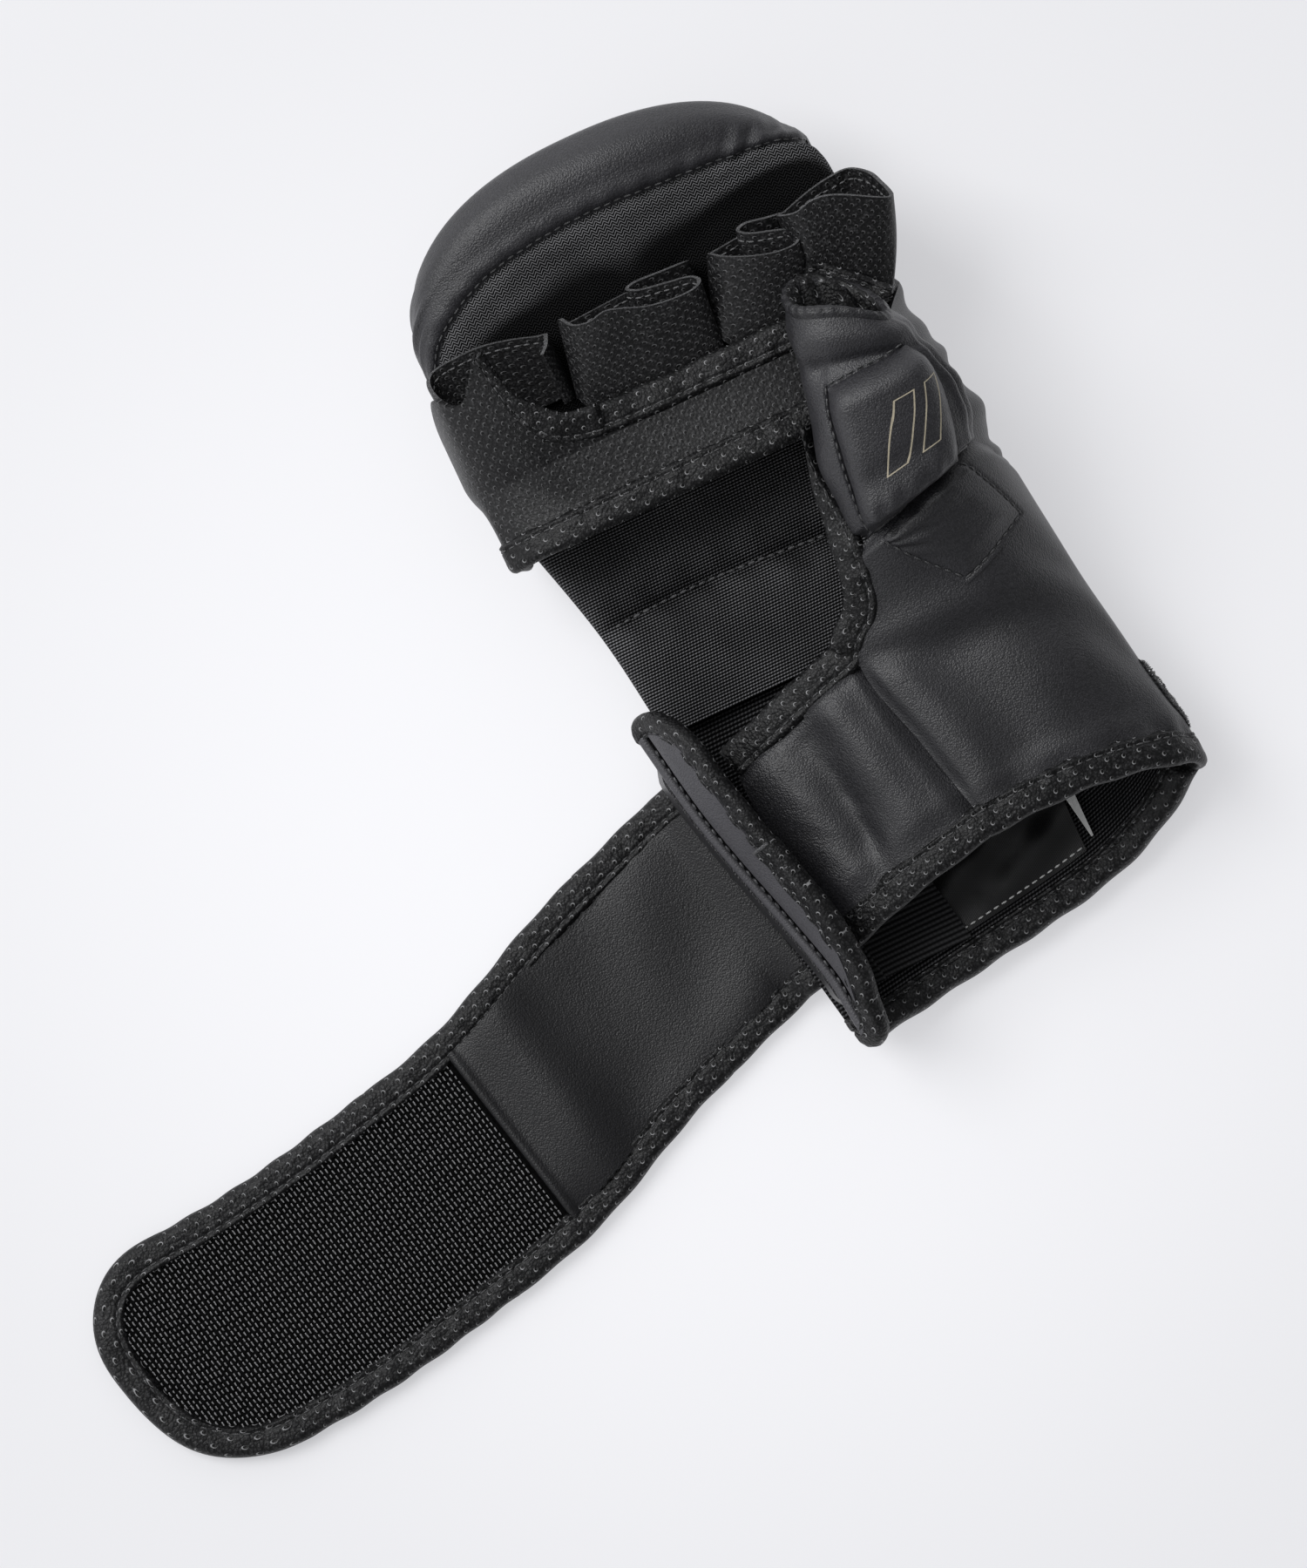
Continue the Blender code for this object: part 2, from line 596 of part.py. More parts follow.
# Thumb
def thumb_surface(u, v):
    x0, y0, z0, width, height, slant = spline([Vector(ring) for ring in THUMB_RINGS], v)
    angle = math.radians(-90.0) - 2.0 * math.pi * u
    x = width * power(math.cos(angle), 2.0 / THUMB_SQUARENESS)
    z = height * power(math.sin(angle), 2.0 / THUMB_SQUARENESS)
    tilt = THUMB_TILT * mix(0.0, 1.0, v)
    return Vector((x0 + x, y0 + slant * x - tilt * z, z0 + z))


def thumb(looks, parts):
    open_share = THUMB_OPEN_ANGLE / (2.0 * math.pi)

    def cut_away(u, v):
        return v < THUMB_CLOSED_V and min(u, 1.0 - u) < open_share
    pieces = [tube("thumb_sleeve", thumb_surface, LEATHER, (28, 10), looks["leather"], parts, cut_away)]
    inner = layer(thumb_surface, -LEATHER - SEAM_GAP)
    closed = part_of(inner, (0.0, 1.0), THUMB_LINING_V)
    pieces.append(tube("thumb_lining", closed, LINING, (28, 4), looks["knit"], parts))
    pad_share = THUMB_PAD_ANGLE / (2.0 * math.pi)
    top = part_of(thumb_surface, (0.5 - pad_share, 0.5 + pad_share), THUMB_PAD_V)

    def raised(rim, crown):
        def place(u, v):
            swell = (1.0 - (2.0 * u - 1.0) ** 4) * (1.0 - (2.0 * v - 1.0) ** 4)
            return top(u, v) + normal(top, u, v) * mix(rim, crown, swell)
        return place
    foam_top = THUMB_PAD_RISE - LEATHER - SEAM_GAP
    inside = (THUMB_FOAM_SHARE, THUMB_FOAM_SHARE)
    foam_foot = part_of(raised(SEAM_GAP, SEAM_GAP), *inside)
    foam_crown = part_of(raised(SEAM_GAP + THUMB_FOAM_RIM, foam_top), *inside)
    pieces.append(slab("thumb_pad_foam", foam_foot, foam_crown, (8, 8), looks["foam"], parts))
    rim = SEAM_GAP + THUMB_PAD_RIM
    cover_foot = raised(rim, foam_top + SEAM_GAP)
    cover_crown = raised(rim + LEATHER, THUMB_PAD_RISE)
    pieces.append(slab("thumb_pad_cover", cover_foot, cover_crown, (10, 10), looks["leather"], parts))
    mouth = edge_strip(thumb_surface, ("v", 1.0), (0.0, 1.0), THUMB_BINDING_WIDTH)
    swollen = layer(mouth, THUMB_BINDING_RISE)
    pieces.append(tube("thumb_mouth_binding", swollen, THUMB_BINDING_THICKNESS, (28, 1),
                       looks["binding"], parts))
    crease = spline([Vector(ring[:3]) for ring in THUMB_RINGS], 0.0)
    hinge_empty("thumb_hinge", (crease.x, crease.y, THUMB_CREASE_Z), pieces, parts)

    def gusset(u, v):
        return mix(spline(GUSSET_FOOT, u), spline(GUSSET_TOP, u), v)
    half = 0.5 * GUSSET_THICKNESS
    sheet("thumb_gusset", gusset, -half, half, (4, 2), looks["leather"], parts)


# Side wall and closing flap
def flap_line(share):
    """Fold line of the flap, on the inner side of its foot."""
    first, last = FLAP_LINE
    return mix(Vector((*first, WALL_TOP_Z)), Vector((*last, WALL_TOP_Z)), share)


def flap_surface(u, v):
    """Inner face of the flap, leaning in over the end of the cuff panel."""
    along = (flap_line(1.0) - flap_line(0.0)).normalized()
    up = Vector((0.0, 0.0, 1.0))
    rise = up * math.cos(FLAP_LEAN) + along.cross(up) * math.sin(FLAP_LEAN)
    beyond = max(abs(2.0 * u - 1.0) - FLAP_ROUND_FROM, 0.0) / (1.0 - FLAP_ROUND_FROM)
    height = FLAP_HEIGHT * (1.0 - FLAP_ROUND_DROP * beyond * beyond)
    return flap_line(u) + rise * (FLAP_SEAT + height * v)


def closing_flap(looks, parts):
    def wall(u, v):
        top = flap_line(mix(*WALL_SHARE, u))
        foot_z = CUFF_LIFT + EDGE_RISE + CUFF_THICKNESS + SEAM_GAP
        foot = Vector((top.x, top.y, foot_z))
        return mix(foot, top - Vector((0.0, 0.0, FLAP_SEAT)), v)
    sheet("cuff_side_wall", wall, -WALL_THICKNESS, 0.0, (4, 2), looks["leather"], parts)

    outer = LEATHER - FLAP_THICKNESS
    pieces = [sheet("flap_cover", flap_surface, -FLAP_THICKNESS, outer, (14, 3), looks["leather"], parts)]
    pieces.append(sheet("flap_core", flap_surface, outer + SEAM_GAP, -LEATHER - SEAM_GAP, (14, 2),
                        looks["foam"], parts))
    pieces.append(sheet("flap_facing", flap_surface, -LEATHER, 0.0, (14, 3), looks["leather"], parts))
    edge = edge_strip(flap_surface, ("v", 1.0), (0.0, 1.0), FLAP_BINDING_WIDTH)
    half = 0.5 * FLAP_BINDING_THICKNESS
    middle = -0.5 * FLAP_THICKNESS
    pieces.append(sheet("flap_binding", edge, middle - half, middle + half, (14, 2), looks["binding"], parts))
    hinge_empty("flap_hinge", flap_line(0.5), pieces, parts)

    def elastic(u, v):
        y = mix(*ELASTIC_Y, v)
        edge = reading(CUFF_LEFT, y)
        return spline([(edge + x, y, z) for x, z in ELASTIC_BEND], u)
    half = 0.5 * ELASTIC
    sheet("elastic_gusset", elastic, -half, half, (14, 4), looks["elastic"], parts)


# Strap
def strap_axes():
    along = Vector((math.cos(STRAP_LINE_ANGLE), math.sin(STRAP_LINE_ANGLE), 0.0))
    out = Vector((along.y, -along.x, 0.0))
    return along, out


def strap_point(out_distance, side, z):
    """Point on the strap: distance out from the root hinge, side from -1 to 1 along the fold line."""
    along, out = strap_axes()
    drift = reading(STRAP_DRIFT, max(out_distance, 0.0))
    root = Vector((STRAP_ROOT[0], STRAP_ROOT[1], z))
    return root + out * out_distance + along * (drift + side)


def strap_half_width(out_distance, inset):
    """Half width, drawn to a round end over the tip."""
    beyond = out_distance - (STRAP_LENGTH - STRAP_TIP_LENGTH)
    if beyond <= 0.0:
        return STRAP_HALF_WIDTH - inset
    tip = STRAP_TIP_LENGTH - inset
    square = STRAP_TIP_SQUARENESS
    share = max(0.0, 1.0 - (min(beyond, tip) / tip) ** square) ** (1.0 / square)
    return max((STRAP_HALF_WIDTH - inset) * share, 0.0)


def strap_field(reach, inset, z):
    """Face of the strap between two distances from the root, at a height."""
    def place(u, v):
        end = min(reach[1], STRAP_LENGTH - inset - STRAP_TIP_STOP)
        ease = 1.0 - (1.0 - u) ** STRAP_TIP_EASE if reach[1] >= STRAP_LENGTH else u
        distance = mix(reach[0], end, ease)
        return strap_point(distance, strap_half_width(distance, inset) * (1.0 - 2.0 * v), z)
    return place


def strap_border(reach, side, z):
    """Binding tape along one side of the strap between two distances from the root."""
    def place(u, v):
        distance = mix(*reach, u)
        inner = STRAP_HALF_WIDTH - STRAP_BINDING_WIDTH
        return strap_point(distance, side * mix(inner, STRAP_HALF_WIDTH, v), z)
    return place


def strap_tip_border(start, z):
    """Binding tape down one side, round the tip and back up the other side."""
    def rim(u, inset):
        turn = 1.0 - 2.0 * u
        straight = STRAP_LENGTH - STRAP_TIP_LENGTH
        if abs(turn) > STRAP_ROUND_SHARE:
            run = (abs(turn) - STRAP_ROUND_SHARE) / (1.0 - STRAP_ROUND_SHARE)
            return mix(straight, start, run), math.copysign(STRAP_HALF_WIDTH - inset, turn)
        angle = 0.5 * math.pi * turn / STRAP_ROUND_SHARE
        bulge = 2.0 / STRAP_TIP_SQUARENESS
        distance = straight + (STRAP_TIP_LENGTH - inset) * power(math.cos(angle), bulge)
        return distance, (STRAP_HALF_WIDTH - inset) * power(math.sin(angle), bulge)

    def place(u, v):
        distance, side = rim(u, STRAP_BINDING_WIDTH * (1.0 - v))
        return strap_point(distance, side, z)
    return place


def strap(looks, parts):
    foot = 0.5 * (STRAP_BINDING_THICKNESS - STRAP_THICKNESS)
    face = foot + STRAP_THICKNESS
    field_inset = STRAP_BINDING_WIDTH + SEAM_GAP
    segments = {
        "root": (0.5 * FOLD_GAP, STRAP_MID_FOLD - 0.5 * FOLD_GAP),
        "mid": (STRAP_MID_FOLD + 0.5 * FOLD_GAP, STRAP_TIP_FOLD - 0.5 * FOLD_GAP),
        "tip": (STRAP_TIP_FOLD + 0.5 * FOLD_GAP, STRAP_LENGTH),
    }
    folds = {"root": 0.0, "mid": STRAP_MID_FOLD, "tip": STRAP_TIP_FOLD}
    for segment, reach in segments.items():
        name = "strap_" + segment
        rows = (10, 6) if segment == "tip" else (8, 2)

        def layer_of(title, reach, low, high, look):
            faces = [strap_field(reach, field_inset, z) for z in (low, high)]
            return slab(title, *faces, rows, looks[look], parts)
        core_low = foot + LEATHER + SEAM_GAP
        core_high = face - LEATHER - SEAM_GAP
        pieces = [layer_of(name + "_cover", reach, foot, foot + LEATHER, "leather")]
        pieces.append(layer_of(name + "_core", reach, core_low, core_high, "foam"))
        hook_from = max(reach[0], STRAP_HOOK_START + SEAM_GAP)
        if reach[0] < STRAP_HOOK_START:
            facing = (reach[0], min(reach[1], STRAP_HOOK_START))
            pieces.append(layer_of(name + "_facing", facing, face - LEATHER, face, "leather"))
        if hook_from < reach[1]:
            hooks = (hook_from, reach[1])
            pieces.append(layer_of(name + "_hooks", hooks, face - LEATHER, face - LEATHER + HOOK, "hook"))
        top = STRAP_BINDING_THICKNESS
        if segment == "tip":
            faces = [strap_tip_border(reach[0], z) for z in (0.0, top)]
            pieces.append(slab(name + "_binding", *faces, (28, 1), looks["binding"], parts))
        else:
            for side, label in ((-1.0, "upper"), (1.0, "lower")):
                faces = [strap_border(reach, side, z) for z in (0.0, top)]
                pieces.append(slab(name + "_binding_" + label, *faces, (8, 1), looks["binding"], parts))
        axis = strap_point(folds[segment], 0.0, STRAP_BINDING_THICKNESS)
        hinge_empty(name + "_hinge", axis, pieces, parts)

    def anchor(depth):
        def place(u, v):
            distance = mix(-STRAP_ANCHOR, -0.5 * FOLD_GAP, u)
            point = strap_point(distance, STRAP_HALF_WIDTH * (1.0 - 2.0 * v), 0.0)
            edge = reading(CUFF_LEFT, point.y)
            share = (point.x - edge) / (reading(CUFF_RIGHT, point.y) - edge)
            under_cuff = CUFF_LIFT + edge_rise(max(share, 0.0)) - SEAM_GAP
            off_hinge = face - STRAP_ANCHOR_SLOPE * (distance + 0.5 * FOLD_GAP)
            point.z = min(under_cuff, off_hinge) - depth
            return point
        return place
    slab("strap_anchor", anchor(STRAP_THICKNESS - SEAM_GAP), anchor(0.0), (10, 6), looks["leather"], parts)


def main():
    parts = start_scene()
    looks = {
        "leather": finish("black_leather", (0.022, 0.022, 0.025), 0.55),
        "suede": finish("perforated_suede", (0.016, 0.016, 0.018), 0.85),
        "binding": finish("perforated_binding", (0.018, 0.018, 0.020), 0.6),
        "mesh": finish("mesh_lining", (0.012, 0.012, 0.014), 0.9),
        "knit": finish("knit_lining", (0.010, 0.010, 0.012), 0.9),
        "foam": finish("moulded_foam", (0.05, 0.05, 0.055), 0.95),
        "elastic": finish("ribbed_elastic", (0.012, 0.012, 0.013), 0.85),
        "loop": finish("loop_pile", (0.015, 0.015, 0.016), 0.95),
        "hook": finish("hook_panel", (0.012, 0.012, 0.013), 0.5),
        "satin": finish("satin_label", (0.010, 0.010, 0.012), 0.4),
        "white": finish("white_label", (0.75, 0.75, 0.74), 0.7),
    }
    knuckle_pad(looks, parts)
    back_of_hand(looks, parts)
    back_of_cuff(looks, parts)
    finger_loops(looks, parts)
    palm_band(looks, parts)
    palm_side(looks, parts)
    thumb(looks, parts)
    closing_flap(looks, parts)
    strap(looks, parts)


main()
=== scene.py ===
import bpy
import numpy as np
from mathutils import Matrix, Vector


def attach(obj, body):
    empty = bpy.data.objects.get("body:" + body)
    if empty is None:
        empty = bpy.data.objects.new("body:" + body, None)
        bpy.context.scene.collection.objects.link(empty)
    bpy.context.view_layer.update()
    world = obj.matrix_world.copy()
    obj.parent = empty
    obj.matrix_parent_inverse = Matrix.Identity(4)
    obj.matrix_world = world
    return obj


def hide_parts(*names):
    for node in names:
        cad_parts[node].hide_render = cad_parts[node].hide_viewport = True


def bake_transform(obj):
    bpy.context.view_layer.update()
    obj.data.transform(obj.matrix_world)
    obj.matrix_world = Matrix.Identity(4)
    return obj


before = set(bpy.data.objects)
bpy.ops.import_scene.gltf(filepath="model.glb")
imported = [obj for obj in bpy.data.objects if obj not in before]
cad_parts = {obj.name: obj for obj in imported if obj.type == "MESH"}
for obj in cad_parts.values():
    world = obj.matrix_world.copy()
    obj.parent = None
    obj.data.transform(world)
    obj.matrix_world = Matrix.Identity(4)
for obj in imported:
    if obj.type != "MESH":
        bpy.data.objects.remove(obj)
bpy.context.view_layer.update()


# Studio
# A pale floor, half of its brightness a painted glow that is strongest round the glove and lifts the glove's shadow,
# in a tent that is brighter on the little-finger side, with one softbox high on that side.
# The camera looks straight down at the open glove, turned so that the fingers point up and to the right.
FLOOR_COLOUR = (0.44, 0.44, 0.45, 1.0)
FLOOR_GLOW_COLOUR = (0.97, 0.97, 1.0, 1.0)
FLOOR_GLOW_MIDDLE = (-0.04, -0.08, 0.0)
# From and to in metres or in turn, then the strength at each
FLOOR_GLOW = (0.06, 0.30, 0.53, 0.41)
TENT_GLOW = (-0.60, 0.66, 0.18, 1.02)
TENT_COLOUR = (0.97, 0.98, 1.0, 1.0)
TENT_BRIGHT_SIDE = (-0.64, 0.77, 0.0)
SOFTBOX_PLACE = (-1.15, 1.25, 2.2)
SOFTBOX_AIM = (-0.05, -0.03, 0.02)
SOFTBOX_SIZE = 1.5
SOFTBOX_POWER = 46.0
CAMERA_PLACE = (-0.054, -0.0686, 2.0)
CAMERA_TURN = np.radians(-25.0)


def measured(tree, operation, source, other):
    """Distance of a point from a place, or share of a direction that lies along another."""
    node = tree.nodes.new("ShaderNodeVectorMath")
    node.operation = operation
    node.inputs[1].default_value = other
    tree.links.new(tree.nodes.new("ShaderNodeTexCoord").outputs[source], node.inputs[0])
    return node.outputs["Value"]


def ranged(tree, value, low, high, to_low, to_high, kind="LINEAR"):
    """A value's range from low to high, carried over to another range."""
    node = tree.nodes.new("ShaderNodeMapRange")
    node.interpolation_type = kind
    for title, number in (("From Min", low), ("From Max", high), ("To Min", to_low), ("To Max", to_high)):
        node.inputs[title].default_value = number
    tree.links.new(value, node.inputs["Value"])
    return node.outputs["Result"]


bpy.context.scene.view_settings.view_transform = "Standard"
bpy.ops.object.select_all(action="DESELECT")
bpy.ops.mesh.primitive_plane_add(size=6.0, location=(0.0, 0.0, -0.0004))
floor = bpy.context.object
floor.name = "floor"
bpy.ops.object.transform_apply(location=True, rotation=False, scale=False)
floor_paper = bpy.data.materials.new("floor_paper")
floor_paper.use_nodes = True
table = floor_paper.node_tree
paper = table.nodes["Principled BSDF"]
paper.inputs["Base Color"].default_value = FLOOR_COLOUR
paper.inputs["Roughness"].default_value = 0.9
paper.inputs["Specular IOR Level"].default_value = 0.1
# Painted glow: the floor emits light of its own, strongest near the glove, to lift the glove's shadow.
paper.inputs["Emission Color"].default_value = FLOOR_GLOW_COLOUR
from_middle = measured(table, "DISTANCE", "Object", FLOOR_GLOW_MIDDLE)
table.links.new(ranged(table, from_middle, *FLOOR_GLOW, "SMOOTHSTEP"), paper.inputs["Emission Strength"])
floor.data.materials.append(floor_paper)

world = bpy.data.worlds.new("studio")
bpy.context.scene.world = world
world.use_nodes = True
tent = world.node_tree
sky = tent.nodes["Background"]
sky.inputs["Color"].default_value = TENT_COLOUR
toward = measured(tent, "DOT_PRODUCT", "Generated", TENT_BRIGHT_SIDE)
tent.links.new(ranged(tent, toward, *TENT_GLOW, "SMOOTHSTEP"), sky.inputs["Strength"])

bpy.ops.object.light_add(type="AREA", location=SOFTBOX_PLACE)
softbox = bpy.context.object
softbox.name = "softbox_key"
softbox.data.shape = "RECTANGLE"
softbox.data.size = softbox.data.size_y = SOFTBOX_SIZE
softbox.data.energy = SOFTBOX_POWER
softbox_aim = Vector(SOFTBOX_AIM) - Vector(SOFTBOX_PLACE)
softbox.rotation_euler = softbox_aim.to_track_quat("-Z", "Y").to_euler()

bpy.ops.object.camera_add(location=CAMERA_PLACE, rotation=(0.0, 0.0, CAMERA_TURN))
camera = bpy.context.object
camera.data.sensor_fit = "VERTICAL"
camera.data.sensor_height = 36.0
camera.data.lens = 160.0
camera.data.clip_end = 20.0
bpy.context.scene.camera = camera


# Back of the hand
# A flat leather cover that the glove lies on, under a padded knit lining that the hand rests against.
# One row of quilting crosses the padding, and its sides are turned down and sewn to the leather.
HAND_FRONT_Y = 0.0142
HAND_REAR_Y = -0.058
HAND_LEFT = ((-0.058, -0.045), (-0.024, -0.050), (0.0142, -0.060))
HAND_RIGHT = ((-0.058, 0.0725), (-0.024, 0.0700), (0.0142, 0.0635))
HAND_THICKNESS = 0.0145
QUILT_Y = -0.024
LEATHER = 0.0014
LEATHER_DARK = (0.0080, 0.0079, 0.0092)
LEATHER_LIGHT = (0.0290, 0.0286, 0.0322)
THREAD_PITCH = 0.0031


def mix(a, b, share):
    return a + (b - a) * share


def ease(low, high, value):
    share = np.clip((value - low) / (high - low), 0.0, 1.0)
    return share * share * (3.0 - 2.0 * share)


def hump(value, at, width):
    return np.exp(-((value - at) / width) ** 2)


def power(value, exponent):
    return np.sign(value) * np.abs(value) ** exponent


def reading(table, x):
    """Smooth reading of (place, value) pairs."""
    places, values = np.array(table, float).T
    steps = np.diff(values) / np.diff(places)
    middle = (values[2:] - values[:-2]) / (places[2:] - places[:-2])
    slopes = np.concatenate([steps[:1], middle, steps[-1:]])
    first = np.clip(np.searchsorted(places, x) - 1, 0, len(places) - 2)
    run = places[first + 1] - places[first]
    t = np.clip((x - places[first]) / run, 0.0, 1.0)
    rest = (1.0 - t) ** 2
    start = (values[first] * (1.0 + 2.0 * t) + slopes[first] * run * t) * rest
    end = (values[first + 1] * (3.0 - 2.0 * t) + slopes[first + 1] * run * (t - 1.0)) * t * t
    return start + end


def unit(vectors):
    return vectors / np.maximum(np.linalg.norm(vectors, axis=1, keepdims=True), 1e-12)


def walked(path):
    """Distance from the start of a line to each of its points."""
    return np.concatenate([[0.0], np.cumsum(np.linalg.norm(np.diff(path, axis=0), axis=1))])


def read_line(values, run, at):
    """Points or directions along a line, read at a distance from its start."""
    return np.stack([np.interp(at, run, values[:, axis]) for axis in range(3)], -1)


def facing(place, u, v, step=0.002):
    """Unit normals of a surface on the unit square."""
    across = place(np.minimum(u + step, 1.0), v) - place(np.maximum(u - step, 0.0), v)
    along = place(u, np.minimum(v + step, 1.0)) - place(u, np.maximum(v - step, 0.0))
    return unit(np.cross(across, along))


def given(value, *place):
    """A value that is either a number or a function of the place."""
    return value(*place) if callable(value) else np.full(np.shape(place[0]), value)


def lifted(place, height):
    """The surface moved out along its normals."""
    def moved(u, v):
        return place(u, v) + facing(place, u, v) * given(height, u, v)[:, None]
    return moved


def sewn_panel(name, low, high, cells, size, material, raw=None):
    """Cut panel with two faces on the unit square and, if wanted, a raw edge along v = 1. Its UV map is in metres."""
    bpy.ops.object.select_all(action="DESELECT")
    bpy.ops.mesh.primitive_grid_add(x_subdivisions=cells[0], y_subdivisions=cells[1], size=1.0)
    piece = bpy.context.object
    piece.name = piece.data.name = name
    bpy.ops.object.mode_set(mode="EDIT")
    bpy.ops.mesh.select_all(action="SELECT")
    bpy.ops.mesh.extrude_region()
    bpy.ops.object.mode_set(mode="OBJECT")
    mesh = piece.data
    count = len(mesh.vertices)
    spots = np.empty(count * 3)
    upper = np.empty(count, bool)
    mesh.vertices.foreach_get("co", spots)
    mesh.vertices.foreach_get("select", upper)
    u, v = np.clip(spots.reshape(-1, 3)[:, :2].T + 0.5, 0.0, 1.0)
    places = np.where(upper[:, None], high(u, v), low(u, v))
    mesh.vertices.foreach_set("co", places.ravel())
    corners = np.empty(len(mesh.loops), np.int32)
    mesh.loops.foreach_get("vertex_index", corners)
    flat = size(u, v) if callable(size) else np.stack([u * size[0], v * size[1]], -1)
    mesh.uv_layers.active.data.foreach_set("uv", flat[corners].ravel())
    bpy.ops.object.mode_set(mode="EDIT")
    bpy.ops.mesh.select_all(action="SELECT")
    bpy.ops.mesh.normals_make_consistent(inside=False)
    bpy.ops.object.mode_set(mode="OBJECT")
    mesh.materials.append(material)
    if raw:
        mesh.materials.append(raw)
        cut_edge = [int(min(v[index] for index in face.vertices) > 0.9999) for face in mesh.polygons]
        mesh.polygons.foreach_set("material_index", cut_edge)
    bpy.ops.object.shade_smooth_by_angle(angle=np.radians(55.0))
    return piece


def new_finish(name, rough, gloss=0.5, source="Object"):
    """Material with its shader, and the coordinates that its textures lie by."""
    material = bpy.data.materials.new(name)
    material.use_nodes = True
    shader = material.node_tree.nodes["Principled BSDF"]
    shader.inputs["Roughness"].default_value = rough
    shader.inputs["Specular IOR Level"].default_value = gloss
    coords = material.node_tree.nodes.new("ShaderNodeTexCoord").outputs[source]
    return material, material.node_tree, shader, coords


def texture(tree, kind, source, **inputs):
    node = tree.nodes.new("ShaderNode" + kind)
    for title, value in inputs.items():
        node.inputs[title].default_value = value
    tree.links.new(source, node.inputs["Vector"])
    return node


def bands(tree, source, pitch, way, **inputs):
    """Wave bands a pitch apart. The texture's own period is 0.314 at a scale of 1."""
    node = texture(tree, "TexWave", source, Scale=0.314 / pitch, **inputs)
    node.bands_direction = way
    return node


def blend_colours(tree, factor, dark, light):
    node = tree.nodes.new("ShaderNodeMix")
    node.data_type = "RGBA"
    node.inputs["A"].default_value = (*dark, 1.0)
    node.inputs["B"].default_value = (*light, 1.0)
    tree.links.new(factor, node.inputs["Factor"])
    return node


def sums(tree, operation, a, b):
    node = tree.nodes.new("ShaderNodeMath")
    node.operation = operation
    for slot, value in ((0, a), (1, b)):
        if isinstance(value, (int, float)):
            node.inputs[slot].default_value = value
        else:
            tree.links.new(value, node.inputs[slot])
    return node.outputs["Value"]


def coat(tree, shader, shade, dark, light, height, depth):
    """Colour of a finish, between dark and light, and the relief under it."""
    tone = blend_colours(tree, shade, dark, light)
    tree.links.new(tone.outputs["Result"], shader.inputs["Base Color"])
    relief(tree, shader, height, depth)


def relief(tree, shader, height, depth):
    node = tree.nodes.new("ShaderNodeBump")
    node.inputs["Distance"].default_value = depth
    tree.links.new(height, node.inputs["Height"])
    tree.links.new(node.outputs["Normal"], shader.inputs["Normal"])


def leather_finish(name, dark, light, rough=(0.37, 0.43), grain=0.00013, gloss=0.5):
    """Matte calf grain: fine pebbles and a slow drift of tone and gloss, with painted shade in the creases between the
    pebbles and a painted highlight on their tops.
    """
    material, tree, shader, source = new_finish(name, rough[0], gloss)
    drift = texture(tree, "TexNoise", source, Scale=34.0, Detail=4.0, Roughness=0.6).outputs["Fac"]
    pebble = texture(tree, "TexVoronoi", source, Scale=1900.0).outputs["Distance"]
    crease = texture(tree, "TexNoise", source, Scale=1250.0, Detail=3.0, Roughness=0.65).outputs["Fac"]
    height = sums(tree, "SUBTRACT", sums(tree, "MULTIPLY", crease, 1.2), pebble)
    # Painted shade and highlight: the creases are coloured darker and the pebble tops lighter, following the grain's
    # relief.
    grain_and_painted_shade = ranged(tree, height, -0.15, 0.55, 0.0, 1.0)
    shade = sums(tree, "ADD", ranged(tree, drift, 0.3, 0.7, 0.0, 0.4), sums(tree, "MULTIPLY", grain_and_painted_shade, 0.6))
    tree.links.new(ranged(tree, drift, 0.3, 0.7, rough[1], rough[0]), shader.inputs["Roughness"])
    coat(tree, shader, shade, dark, light, height, grain)
    return material


def knit_finish(name, dark, light, pitch, rib):
    """Close knit: ribs across the hand, each a row of slanting loops, dull with dark gaps between."""
    material, tree, shader, coords = new_finish(name, 0.8, 0.06, "UV")
    ribs = bands(tree, coords, pitch, "Y", Distortion=0.25, Detail=1.0)
    slant = tree.nodes.new("ShaderNodeMapping")
    slant.inputs["Rotation"].default_value = (0.0, 0.0, np.radians(24.0))
    tree.links.new(coords, slant.inputs["Vector"])
    rows = bands(tree, slant.outputs["Vector"], rib, "X", Distortion=0.3, Detail=1.0)
    loops = sums(tree, "MULTIPLY", ribs.outputs["Fac"], ranged(tree, rows.outputs["Fac"], 0.0, 1.0, 0.40, 1.0))
    drift = texture(tree, "TexNoise", coords, Scale=45.0, Detail=3.0).outputs["Fac"]
    bright = ranged(tree, loops, 0.24, 0.72, 0.0, 1.0)
    shade = sums(tree, "MULTIPLY", bright, ranged(tree, drift, 0.3, 0.7, 0.6, 1.15))
    coat(tree, shader, shade, dark, light, loops, 0.00045)
    return material


def thread_finish(name, colour, rough=0.5):
    """Twisted polyester thread with a low gloss."""
    material, tree, shader, source = new_finish(name, rough)
    twist = texture(tree, "TexWave", source, Scale=700.0, Distortion=1.0).outputs["Fac"]
    coat(tree, shader, twist, tuple(0.55 * part for part in colour), colour, twist, 0.00008)
    return material


def grains(piece, name, places, faces, material):
    """Many copies of one small grain as a single mesh, instead of the primitive that the piece was."""
    mesh = bpy.data.meshes.new(name)
    copies = [(np.array(face) + step * places.shape[1]).tolist() for step in range(len(places)) for face in faces]
    mesh.from_pydata(places.reshape(-1, 3).tolist(), [], copies)
    spare = piece.data
    piece.data = mesh
    piece.name = name
    bpy.data.meshes.remove(spare)
    mesh.materials.append(material)
    mesh.shade_smooth()
    return piece


